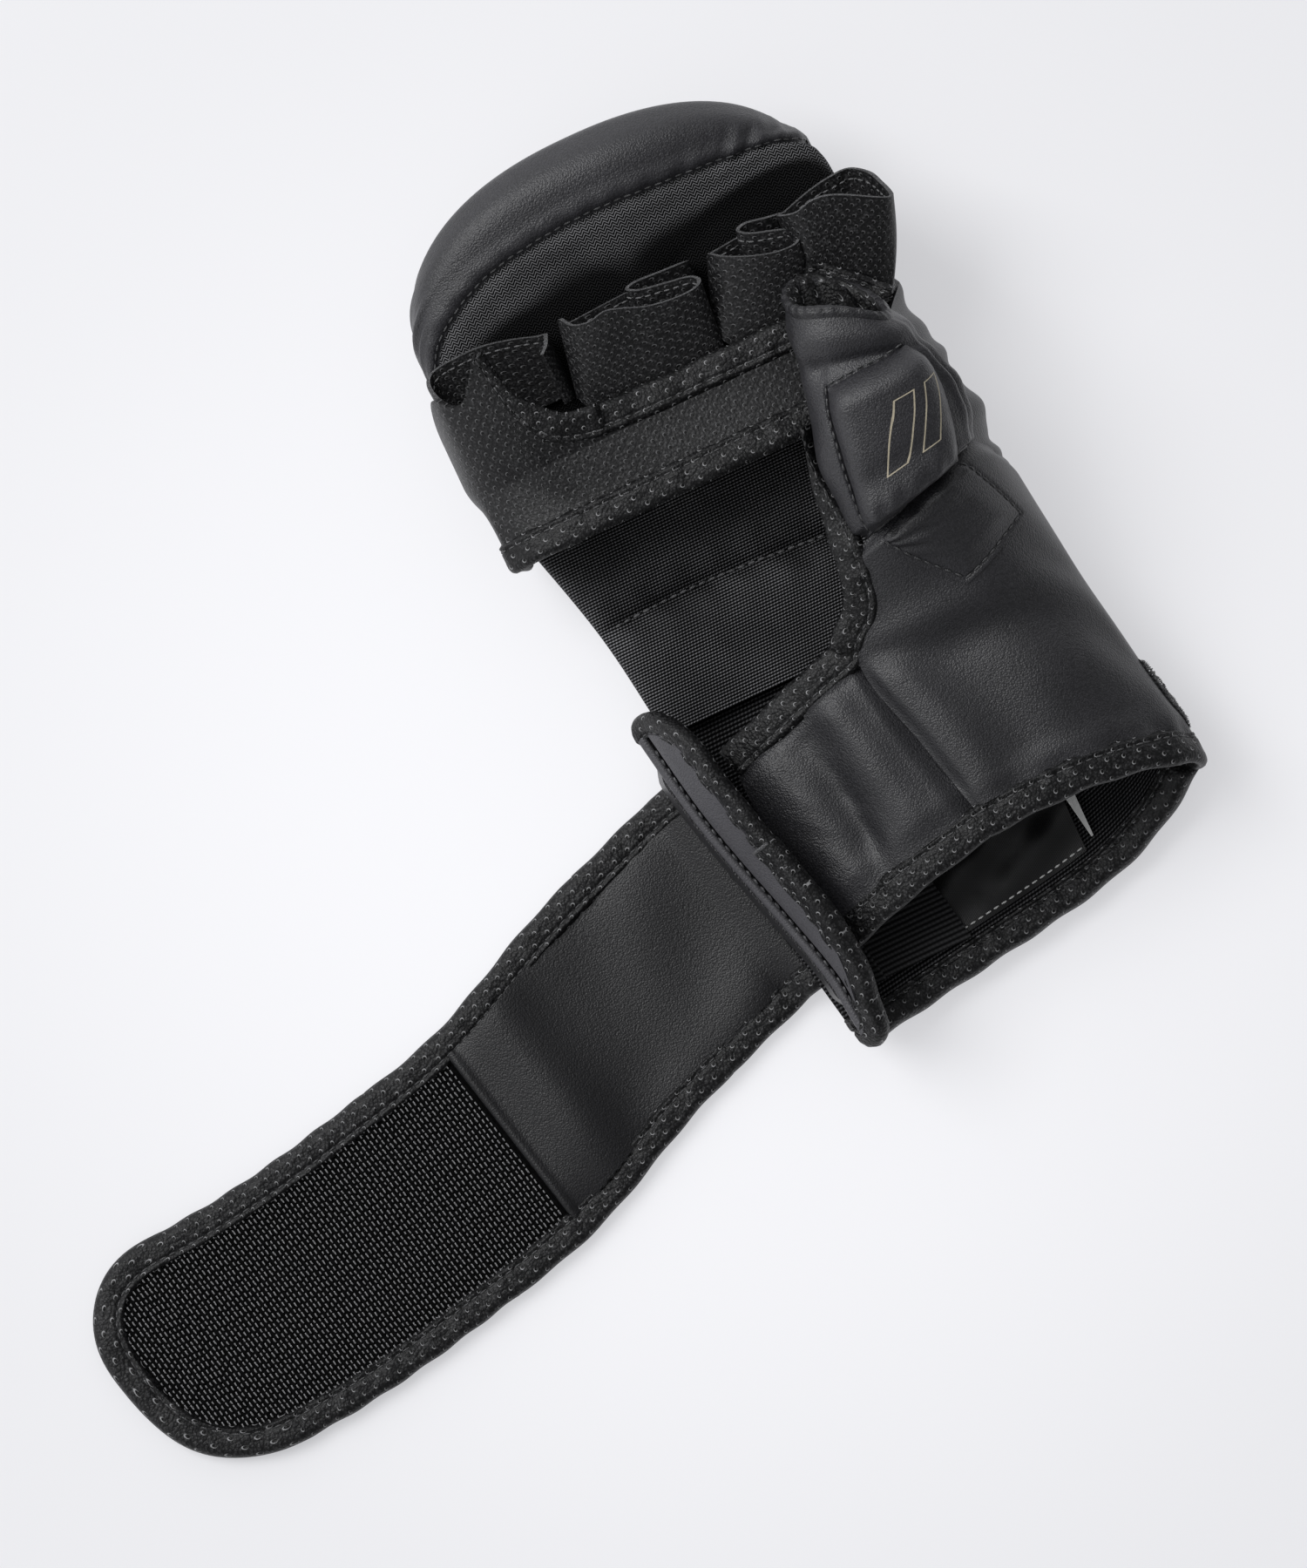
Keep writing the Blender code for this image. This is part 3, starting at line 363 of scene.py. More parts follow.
def stitch_row(name, path, up, material, pitch=THREAD_PITCH, length=0.0024, thick=0.00072):
    """Row of lock stitches along a line of points, each a small grain-shaped length of thread."""
    run = walked(path)
    count = max(int(run[-1] / pitch), 1)
    at = (np.arange(count) + 0.5) * run[-1] / count
    spot = read_line(path, run, at)
    line = unit(read_line(path, run, at + 0.0006) - read_line(path, run, at - 0.0006))
    side = unit(np.cross(read_line(up, run, at), line))
    top = np.cross(line, side)
    bpy.ops.object.select_all(action="DESELECT")
    bpy.ops.mesh.primitive_uv_sphere_add(segments=6, ring_count=4, radius=0.5)
    piece = bpy.context.object
    grain = np.array([vert.co for vert in piece.data.vertices])
    faces = [tuple(face.vertices) for face in piece.data.polygons]
    places = (spot[:, None, :] + line[:, None, :] * grain[None, :, 2:3] * length
              + side[:, None, :] * grain[None, :, 0:1] * thick + top[:, None, :] * grain[None, :, 1:2] * thick)
    return grains(piece, name, places, faces, material)


def upright(count):
    return np.tile([0.0, 0.0, 1.0], (count, 1))


def edge_rise(share):
    """Height that the sides of the glove's back curl up by."""
    beyond = np.maximum(np.abs(2.0 * share - 1.0) - 0.4, 0.0) / 0.6
    return 0.009 * beyond * beyond


def hand_sheet(height):
    def place(u, v):
        y = mix(HAND_REAR_Y, HAND_FRONT_Y, v)
        x = mix(reading(HAND_LEFT, y), reading(HAND_RIGHT, y), u)
        return np.stack([x, y, edge_rise(u) + given(height, u, v, x, y)], -1)
    return place


def round_off(u, left, right):
    """Padding's share of its full height, falling at the sides; a high number turns down sharply."""
    return (1.0 - np.abs(2.0 * u - 1.0) ** np.where(u < 0.5, left, right)) ** 0.45


def quilt_line(x):
    return QUILT_Y + 0.0016 * np.sin((x + 0.05) / 0.019)


def hand_pillow(u, v, x, y):
    """Crown of the padding, held down by the quilting and rounded off at both sides."""
    quilt = quilt_line(x)
    dip = 0.0034 * hump(y, quilt, 0.0046) + 0.0026 * hump(y, quilt, 0.0016)
    swell = 0.0014 * hump(y, quilt + 0.011, 0.007) + 0.0014 * hump(y, quilt - 0.012, 0.007)
    pull = 0.0006 * np.sin((x + 0.004 * np.sin(y * 260.0)) / 0.0019) * hump(y, quilt, 0.008)
    return LEATHER + 0.0006 + (HAND_THICKNESS - LEATHER - 0.0006 - dip + swell + pull) * round_off(u, 9.0, 80.0)


black_leather = leather_finish("black_leather", LEATHER_DARK, LEATHER_LIGHT)
# Painted light: the hand's knit is a much lighter copy of the knit, lifting the lining out of the shade of the hollow
# it lies in.
hand_knit_painted_lighter = knit_finish("hand_knit_painted_lighter", (0.0018, 0.0018, 0.0020), (0.205, 0.205, 0.213), 0.00092, 0.00090)
# Painted glint: the black thread is coloured a lighter grey to stand in for the glints along it.
black_thread_painted_glint = thread_finish("black_thread_painted_glint", (0.062, 0.062, 0.064), 0.34)
# A grey thread, lighter than the black.
grey_thread = thread_finish("grey_thread", (0.150, 0.150, 0.154), 0.45)

hand_cover = sewn_panel("hand_cover_leather", hand_sheet(0.0), hand_sheet(LEATHER), (40, 24), (0.12, 0.072),
                        black_leather)
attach(hand_cover, "glove")
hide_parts("back_hand_cover")
hand_lining = sewn_panel("hand_lining_padded", hand_sheet(LEATHER + 0.0003), hand_sheet(hand_pillow), (150, 110),
                         (0.122, 0.076), hand_knit_painted_lighter)
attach(hand_lining, "glove")
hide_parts("back_hand_lining", "back_hand_foam_knuckle", "back_hand_foam_wrist")

across = np.linspace(0.04, 0.96, 240)
quilt_y = quilt_line(mix(-0.050, 0.070, across))
quilt_path = hand_sheet(hand_pillow)(across, (quilt_y - HAND_REAR_Y) / (HAND_FRONT_Y - HAND_REAR_Y))
quilt_up = upright(len(across))
hand_quilting = stitch_row("hand_quilting_thread", quilt_path + quilt_up * 0.0005, quilt_up, grey_thread,
                           thick=0.0009)
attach(hand_quilting, "glove")


# Knuckle pad
# A moulded foam pillow over the knuckles, curled up to the finger tips. Leather wraps its outer face and a mesh
# lining closes the inner face; the two meet in a turned and top-stitched seam, puckered where the leather is gathered.
PAD_CENTRE_X = 0.0005
PAD_CENTRE_S = 0.060
PAD_HALF_WIDTH = 0.0645
PAD_FRONT = 0.0515
PAD_REAR = 0.045
PAD_HALF_THICKNESS = 0.015
PAD_BEND_START = 0.022
PAD_BEND_RADIUS = 0.118
PAD_CELLS = (200, 88)
PAD_SEAM_CELL = 66
# Degrees round the pad, and degrees up from its middle to the seam
PAD_SEAM = ((-180.0, 20.0), (-150.0, 30.0), (-90.0, 40.0), (-30.0, 20.0), (0.0, -12.0), (17.5, -6.0), (38.5, 33.0),
            (48.0, 45.0), (65.5, 54.0), (86.5, 55.5), (116.0, 54.0), (138.0, 46.5), (151.5, 39.5), (168.0, 27.0),
            (180.0, 20.0))


def pad_place(x, s, t):
    """Point at x across, s along and t above the middle of the pad, bent up at the front."""
    turn = np.maximum(s - PAD_BEND_START, 0.0) / PAD_BEND_RADIUS
    reach = PAD_BEND_RADIUS - t
    y = np.minimum(s, PAD_BEND_START) + reach * np.sin(turn)
    z = PAD_HALF_THICKNESS + PAD_BEND_RADIUS - reach * np.cos(turn)
    return np.stack([x, y, z + 0.004 * (np.abs(x - PAD_CENTRE_X) / PAD_HALF_WIDTH) ** 3], -1)


def pillow(longitude, latitude):
    c, s = np.cos(longitude), np.sin(longitude)
    square = np.where(s > 0.0, 2.3, 6.0)
    reach = (np.abs(c) ** square + np.abs(s) ** square) ** (-1.0 / square)
    radius = np.abs(np.cos(latitude)) ** (2.0 / 3.0) * reach
    length = np.where(s > 0.0, PAD_FRONT, PAD_REAR)
    x = PAD_CENTRE_X + PAD_HALF_WIDTH * radius * c
    return pad_place(x, PAD_CENTRE_S + length * radius * s, PAD_HALF_THICKNESS * power(np.sin(latitude), 2.0 / 3.0))


def pillow_facing(longitude, latitude):
    step = 0.01
    side = pillow(longitude + step, latitude) - pillow(longitude - step, latitude)
    low, high = np.maximum(latitude - step, -1.565), np.minimum(latitude + step, 1.565)
    return unit(np.cross(side, pillow(longitude, high) - pillow(longitude, low)))


def seam_of(longitude):
    return np.radians(reading(PAD_SEAM, np.degrees(longitude)))


def pad_folds(longitude, latitude):
    """Height of the seam groove, the gathers at the thumb end and the soft folds at the little-finger end."""
    off = np.degrees(latitude - seam_of(longitude))
    turn = np.degrees(longitude)
    height = -0.0016 * hump(off, 0.0, 2.6) + 0.0008 * hump(off, -8.0, 6.0) + 0.0004 * hump(off, 7.0, 5.0)
    height += 0.00028 * np.sin(np.radians(turn) * 34.0) * hump(off, -4.0, 6.0)
    gathers = np.sin(np.radians(turn) * 58.0 + 0.04 * off) + 0.6 * np.sin(np.radians(turn) * 39.0 + 1.0)
    height += 0.00070 * gathers * hump(turn, 40.0, 13.0) * hump(off, -12.0, 16.0)
    folds = np.sin(np.radians(off) * 26.0 + np.radians(turn) * 3.0) + 0.5 * np.sin(np.radians(off) * 41.0 + 1.7)
    height += 0.00060 * folds * hump(turn, 163.0, 14.0) * hump(off, -30.0, 24.0)
    height += 0.0006 * np.sin(np.radians(turn) * 5.0 + 0.8) * np.cos(latitude) * ease(-60.0, -10.0, off)
    return height - 0.0012 * ease(20.0, 50.0, off)


def zigzag_mesh(name):
    """Fine mesh with a zigzag wale, near black in its holes, with painted shade darkening it away from the seam, where
    the lining turns away from the light.
    """
    material, tree, shader, coords = new_finish(name, 0.8, 0.05, "UV")
    wave = bands(tree, coords, 0.0021, "X", Distortion=0.0)
    wave.wave_profile = "TRI"
    bend = tree.nodes.new("ShaderNodeCombineXYZ")
    tree.links.new(sums(tree, "MULTIPLY", wave.outputs["Fac"], 0.0011), bend.inputs["Y"])
    moved = tree.nodes.new("ShaderNodeVectorMath")
    tree.links.new(coords, moved.inputs[0])
    tree.links.new(bend.outputs["Vector"], moved.inputs[1])
    wale = bands(tree, moved.outputs["Vector"], 0.00095, "Y", Distortion=0.3)
    drift = texture(tree, "TexNoise", coords, Scale=60.0, Detail=3.0).outputs["Fac"]
    drawn = tree.nodes.new("ShaderNodeAttribute")
    drawn.attribute_name = "painted_light_by_seam"
    ridges = ranged(tree, wale.outputs["Fac"], 0.35, 0.80, 0.0, 1.0)
    shade = sums(tree, "MULTIPLY", ridges, ranged(tree, drift, 0.3, 0.7, 0.7, 1.2))
    # Painted shade: the mesh is coloured much darker away from the seam.
    shade = sums(tree, "MULTIPLY", shade, ranged(tree, drawn.outputs["Fac"], 0.0, 1.0, 0.09, 1.0))
    coat(tree, shader, shade, (0.0018, 0.0018, 0.0020), (0.180, 0.180, 0.186), wale.outputs["Fac"], 0.00030)
    return material


# Painted light: a lighter copy of the black leather for the knuckle pad and the thumb, which stand highest and face the
# light.
pad_leather_painted_lighter = leather_finish("pad_leather_painted_lighter", (0.0105, 0.0103, 0.0121), (0.0350, 0.0345, 0.0390), (0.37, 0.43))
pad_mesh = zigzag_mesh("pad_mesh_lining")
bpy.ops.object.select_all(action="DESELECT")
bpy.ops.mesh.primitive_uv_sphere_add(segments=PAD_CELLS[0], ring_count=PAD_CELLS[1], radius=1.0)
knuckle_pad = bpy.context.object
knuckle_pad.name = knuckle_pad.data.name = "knuckle_pad_pillow"
mesh = knuckle_pad.data
ball = np.empty(len(mesh.vertices) * 3)
mesh.vertices.foreach_get("co", ball)
ball = ball.reshape(-1, 3)
seam_ring = np.pi * (-0.5 + PAD_SEAM_CELL / PAD_CELLS[1])
longitude = np.arctan2(ball[:, 1], ball[:, 0])
height = np.arcsin(np.clip(ball[:, 2], -1.0, 1.0))
pole = 0.5 * np.pi
below = mix(-pole, seam_of(longitude), (height + pole) / (seam_ring + pole))
above = mix(seam_of(longitude), pole, (height - seam_ring) / (pole - seam_ring))
latitude = np.where(height <= seam_ring, below, above)
places = pillow(longitude, latitude) + pillow_facing(longitude, latitude) * pad_folds(longitude, latitude)[:, None]
mesh.vertices.foreach_set("co", places.ravel())
corners = np.empty(len(mesh.loops), np.int32)
mesh.loops.foreach_get("vertex_index", corners)
mesh.uv_layers.active.data.foreach_set("uv", places[corners][:, :2].ravel())
off_seam = np.degrees(latitude - seam_of(longitude))
# Share of painted light: 1 by the seam, falling to 0 beyond it, where the mesh is coloured darker.
painted_light_by_seam = mesh.attributes.new("painted_light_by_seam", "FLOAT", "POINT")
painted_light_by_seam.data.foreach_set("value", 1.0 - ease(15.0, 27.0, off_seam + 2.0 * np.sin(longitude * 7.0)))
mesh.materials.append(pad_leather_painted_lighter)
mesh.materials.append(pad_mesh)
inner_face = [int(min(height[index] for index in face.vertices) > seam_ring - 0.002) for face in mesh.polygons]
mesh.polygons.foreach_set("material_index", inner_face)
mesh.shade_smooth()
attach(knuckle_pad, "glove")
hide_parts("knuckle_pad_cover", "knuckle_pad_foam", "knuckle_pad_lining")

round_seam = np.linspace(-np.pi, np.pi, 900)
beside_seam = seam_of(round_seam) - np.radians(2.4)
seam_up = pillow_facing(round_seam, beside_seam)
seam_line = pillow(round_seam, beside_seam) + seam_up * (pad_folds(round_seam, beside_seam) + 0.0001)[:, None]
pad_stitching = stitch_row("knuckle_pad_stitching", seam_line, seam_up, black_thread_painted_glint)
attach(pad_stitching, "glove")


# Back of the cuff
# Leather outside and knit inside over a thin foam, carried on from the back of the hand to the wrist.
# Its mouth is wrapped in perforated tape, top-stitched by the inner edge and puckered by the thread.
CUFF_LIFT = 0.0022
CUFF_THICKNESS = 0.0085
CUFF_LEFT = ((-0.158, -0.032), (-0.120, -0.0395), (-0.090, -0.0475), (-0.058, -0.052))
CUFF_RIGHT = ((-0.158, 0.0865), (-0.120, 0.084), (-0.090, 0.0805), (-0.058, 0.0758))
CUFF_MOUTH = ((-0.033, -0.1535), (0.005, -0.148), (0.050, -0.1405), (0.070, -0.133), (0.086, -0.1225))
TAPE_WIDTH = 0.0092
TAPE_DARK = (0.0034, 0.0034, 0.0037)
TAPE_LIGHT = (0.0330, 0.0330, 0.0345)
TAPE_PAINTED_GLINT = (0.25, 0.25, 0.255)


def cuff_place(u, v):
    mouth_x = mix(CUFF_MOUTH[0][0], CUFF_MOUTH[-1][0], u)
    y = mix(reading(CUFF_MOUTH, mouth_x), HAND_REAR_Y, v)
    x = mix(reading(CUFF_LEFT, y), reading(CUFF_RIGHT, y), u)
    return np.stack([x, y, CUFF_LIFT + edge_rise(u)], -1)


def cuff_sheet(height):
    def place(u, v):
        return cuff_place(u, v) + np.stack([np.zeros_like(u), np.zeros_like(u), given(height, u, v)], -1)
    return place


def cuff_pillow(u, v):
    ripple = 0.00025 * np.sin(u * 23.0 + 2.0 * v) * np.sin(v * 9.0 + 1.0)
    return LEATHER + 0.0004 + (CUFF_THICKNESS - LEATHER - 0.0004 + ripple) * round_off(u, 12.0, 90.0)


def perforated_finish(name, dark, light, lip, pitch, hole, rough, gloss=0.12, depth=0.00040):
    """Sheet punched in a diamond pattern: dark pits, each with a raised lip lit on one side by a painted glint, on a
    close pebbled grain with a drift of tone and a painted sheen on the pebble tops.
    """
    material, tree, shader, coords = new_finish(name, rough, gloss, "UV")
    rings = []
    for shift in (0.0, 0.36 * hole):
        turned = tree.nodes.new("ShaderNodeMapping")
        turned.inputs["Location"].default_value = (shift, 0.0, 0.0)
        turned.inputs["Rotation"].default_value = (0.0, 0.0, np.radians(45.0))
        tree.links.new(coords, turned.inputs["Vector"])
        lattice = texture(tree, "TexVoronoi", turned.outputs["Vector"], Scale=1.0 / pitch, Randomness=0.10)
        lattice.voronoi_dimensions = "2D"
        rings.append(lattice.outputs["Distance"])
    # Painted glint: a ring shifted to one side of each pit is coloured light, a lighter crescent on the raised lip.
    pit = ranged(tree, rings[0], 0.85 * hole / pitch, 1.0 * hole / pitch, 1.0, 0.0)
    rim = ranged(tree, rings[1], 1.10 * hole / pitch, 1.40 * hole / pitch, 1.0, 0.0)
    source = tree.nodes.new("ShaderNodeTexCoord").outputs["Object"]
    drift = texture(tree, "TexNoise", source, Scale=90.0, Detail=5.0, Roughness=0.65).outputs["Fac"]
    fine = texture(tree, "TexNoise", source, Scale=900.0, Detail=3.0, Roughness=0.7).outputs["Fac"]
    pebble = texture(tree, "TexVoronoi", source, Scale=1150.0).outputs["Distance"]
    crumb = sums(tree, "SUBTRACT", sums(tree, "MULTIPLY", fine, 1.3), pebble)
    # Tone drifts at random, and the pebble tops are coloured lighter as a painted sheen.
    painted_sheen = ranged(tree, crumb, 0.12, 0.55, 0.0, 1.0)
    drift_and_painted_sheen = sums(tree, "MULTIPLY", ranged(tree, drift, 0.3, 0.7, 0.35, 1.0), painted_sheen)
    worn = blend_colours(tree, drift_and_painted_sheen, dark, light)
    with_painted_glint = blend_colours(tree, rim, dark, lip)
    tree.links.new(worn.outputs["Result"], with_painted_glint.inputs["A"])
    punched = blend_colours(tree, pit, dark, (0.0005, 0.0005, 0.0005))
    tree.links.new(with_painted_glint.outputs["Result"], punched.inputs["A"])
    tree.links.new(punched.outputs["Result"], shader.inputs["Base Color"])
    level = sums(tree, "ADD", sums(tree, "MULTIPLY", pit, -1.2), sums(tree, "MULTIPLY", crumb, 0.5))
    relief(tree, shader, sums(tree, "ADD", level, sums(tree, "MULTIPLY", rim, 0.4)), depth)
    return material


def tape_level(v):
    """Section of a folded tape from its sewn lip to its nose, as a share of its half thickness."""
    nose = np.sqrt(np.clip(1.0 - (np.maximum(v - 0.66, 0.0) / 0.345) ** 2.3, 0.0, 1.0))
    return mix(0.34, 1.0, ease(0.0, 0.13, v)) * nose - 0.22 * hump(v, 0.25, 0.05)


def tape_faces(rail, width, half, middle, length, pucker=0.00028, overlap=0.0010):
    """Under and upper faces of a folded tape. The rail gives its sewn line, the way out and the face."""
    def face(side):
        def place(u, v):
            point, out, up = rail(u)
            run = u * length
            gather = np.sin(run / 0.00165 + 1.4 * np.sin(run / 0.0041)) * hump(v, 0.22, 0.30)
            gather += 0.7 * np.sin(run / 0.0028 + 2.0) * hump(v, 0.8, 0.3)
            level = middle + side * given(half, u) * tape_level(v) + pucker * gather * (0.5 + 0.5 * side)
            waver = 0.6 * pucker * np.sin(run / 0.0031) * ease(0.4, 1.0, v)
            reach = mix(-overlap, given(width, u), v) + waver
            return point + out * reach[:, None] + up * level[:, None]
        return place
    return face(-1.0), face(1.0)


def edge_rail(surface, side, end):
    """Sewn line along one edge of a panel, even in its length, with the way out of the panel and its face."""
    def spots(share, level=end):
        fixed = np.full(share.shape, level)
        return (fixed, share) if side == "u" else (share, fixed)

    steps = np.linspace(0.0, 1.0, 400)
    run = walked(surface(*spots(steps)))

    def rail(u):
        share = np.interp(u, run / run[-1], steps)
        point = surface(*spots(share))
        back = surface(*spots(share, mix(end, 0.5, 0.04)))
        line = surface(*spots(np.minimum(share + 0.01, 1.0))) - surface(*spots(np.maximum(share - 0.01, 0.0)))
        up = facing(surface, *spots(share))
        out = unit(np.cross(up, line))
        return point, out * np.sign(np.sum(out * (point - back), axis=1, keepdims=True)), up
    return rail


def bound_edge(name, rail, length, nodes, body, width=TAPE_WIDTH, half=0.0023, middle=-0.00015, pucker=0.00028,
               overlap=0.0010):
    """Folded tape along a rail with its row of top-stitching."""
    cells = (max(int(length / 0.0011), 24), 18)
    under, over = tape_faces(rail, width, half, middle, length, pucker, overlap)
    steps = np.linspace(0.0, 1.0, 80)
    section = np.stack([mix(-overlap, given(width, 0.5), steps), given(half, 0.5) * tape_level(steps)], -1)
    across = walked(section)

    def flat(u, v):
        return np.stack([u * length, np.interp(v, steps, across)], -1)

    piece = sewn_panel(name, under, over, cells, flat, tape_leather)
    share = np.linspace(0.0, 1.0, 400)
    seam = over(share, np.full(share.shape, 0.25))
    up = rail(share)[2]
    row = stitch_row(name + "_stitching", seam + up * 0.0001, up, black_thread_painted_glint)
    for made in (piece, row):
        if body:
            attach(made, body)
    if nodes:
        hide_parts(*nodes)
    return piece, row


tape_leather = perforated_finish("perforated_tape", TAPE_DARK, TAPE_LIGHT, TAPE_PAINTED_GLINT, 0.0037, 0.00050, 0.42,
                                 gloss=0.26)
cuff_knit = knit_finish("cuff_knit", (0.0014, 0.0014, 0.0016), (0.085, 0.085, 0.089), 0.0011, 0.0010)
cuff_cover = sewn_panel("cuff_cover_leather", cuff_sheet(0.0), cuff_sheet(LEATHER), (48, 36), (0.12, 0.08),
                        black_leather)
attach(cuff_cover, "glove")
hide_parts("cuff_back_cover")
cuff_lining = sewn_panel("cuff_lining_padded", cuff_sheet(LEATHER + 0.0003), cuff_sheet(cuff_pillow), (90, 60),
                         (0.12, 0.085), cuff_knit)
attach(cuff_lining, "glove")
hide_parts("cuff_back_lining", "cuff_back_foam")
mouth_edge = edge_rail(cuff_sheet(0.5 * CUFF_THICKNESS), "v", 0.0)
bound_edge("cuff_mouth_tape", mouth_edge, 0.135, ["cuff_back_mouth_binding"], "glove",
           half=lambda u: mix(0.0010, 0.0046, ease(0.0, 0.05, u) * ease(1.0, 0.97, u)),
           width=lambda u: mix(0.0030, TAPE_WIDTH, ease(0.0, 0.04, u)), middle=0.0, pucker=0.00045)


# Labels in the mouth
# A plain black satin label lies on the lining with a row of white thread along the mouth.
# A white folded tab of woven tape stands beside it.
SATIN_LABEL = (0.004, 0.050, 0.0025, 0.024)
LABEL_WAVE = 0.00048


def label_sheet(height, wave):
    left, right, low, high = SATIN_LABEL

    def place(u, v):
        x = mix(left, right, u)
        y = reading(CUFF_MOUTH, x) + mix(low, high, v)
        share = (x - reading(CUFF_LEFT, y)) / (reading(CUFF_RIGHT, y) - reading(CUFF_LEFT, y))
        ripple = wave * (np.sin(u * 17.0 + v * 4.0) + np.sin(u * 7.0 - v * 9.0)) * (0.4 + 0.6 * v)
        return np.stack([x, y, CUFF_LIFT + edge_rise(share) + CUFF_THICKNESS + height + ripple], -1)
    return place


def satin_finish(name, dark, light, rough):
    """Woven satin: fine floats along one way, glossy across them."""
    material, tree, shader, coords = new_finish(name, rough, 0.26, "UV")
    floats = bands(tree, coords, 0.00045, "X", Distortion=0.8).outputs["Fac"]
    drift = texture(tree, "TexNoise", coords, Scale=90.0, Detail=3.0).outputs["Fac"]
    shade = sums(tree, "MULTIPLY", floats, ranged(tree, drift, 0.3, 0.7, 0.5, 1.2))
    coat(tree, shader, shade, dark, light, shade, 0.00006)
    return material


black_satin = satin_finish("black_satin", (0.0022, 0.0022, 0.0025), (0.0065, 0.0065, 0.0070), 0.33)
white_tape = satin_finish("white_woven_tape", (0.62, 0.62, 0.61), (0.80, 0.80, 0.79), 0.7)
white_thread = thread_finish("white_thread", (0.75, 0.75, 0.74), 0.6)
mouth_label = sewn_panel("mouth_label_satin", label_sheet(0.0003, 0.0), label_sheet(0.0012, LABEL_WAVE), (60, 24),
                         (0.046, 0.0215), black_satin)
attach(mouth_label, "glove")
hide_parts("satin_label")


def tab_sheet(height):
    """Folded tab, cut to a point towards the mouth."""
    def place(u, v):
        x = mix(mix(0.0529, 0.0498, v), 0.0535, u)
        share = (x - CUFF_LEFT[1][1]) / (CUFF_RIGHT[1][1] - CUFF_LEFT[1][1])
        y = reading(CUFF_MOUTH, x) + mix(0.0048, 0.024, v)
        return np.stack([x, y, CUFF_LIFT + edge_rise(share) + CUFF_THICKNESS + height + 0.0008 * v], -1)
    return place


care_tab = sewn_panel("care_tab_woven", tab_sheet(0.0003), tab_sheet(0.0022), (8, 24), (0.003, 0.022), white_tape)
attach(care_tab, "glove")
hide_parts("care_label")
share = np.linspace(0.03, 0.99, 120)
label_line = label_sheet(0.0013, LABEL_WAVE)(share, np.full(share.shape, 0.07))
label_stitching = stitch_row("mouth_label_stitching", label_line, upright(120), white_thread, pitch=0.0026,
                             length=0.0019, thick=0.0006)
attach(label_stitching, "glove")


# Finger loops
# Four loops of thin punched suede, each one strip folded round a finger and sewn to the pad at its base. The slack of
# the ring and middle loops stands in a pleat on the thumb side, and the palm wall of the little loop is cut down.
SUEDE = 0.0012
SUEDE_DARK = (0.0050, 0.0050, 0.0054)
SUEDE_LIGHT = (0.0385, 0.0385, 0.0400)
SUEDE_PAINTED_GLINT = (0.088, 0.088, 0.091)
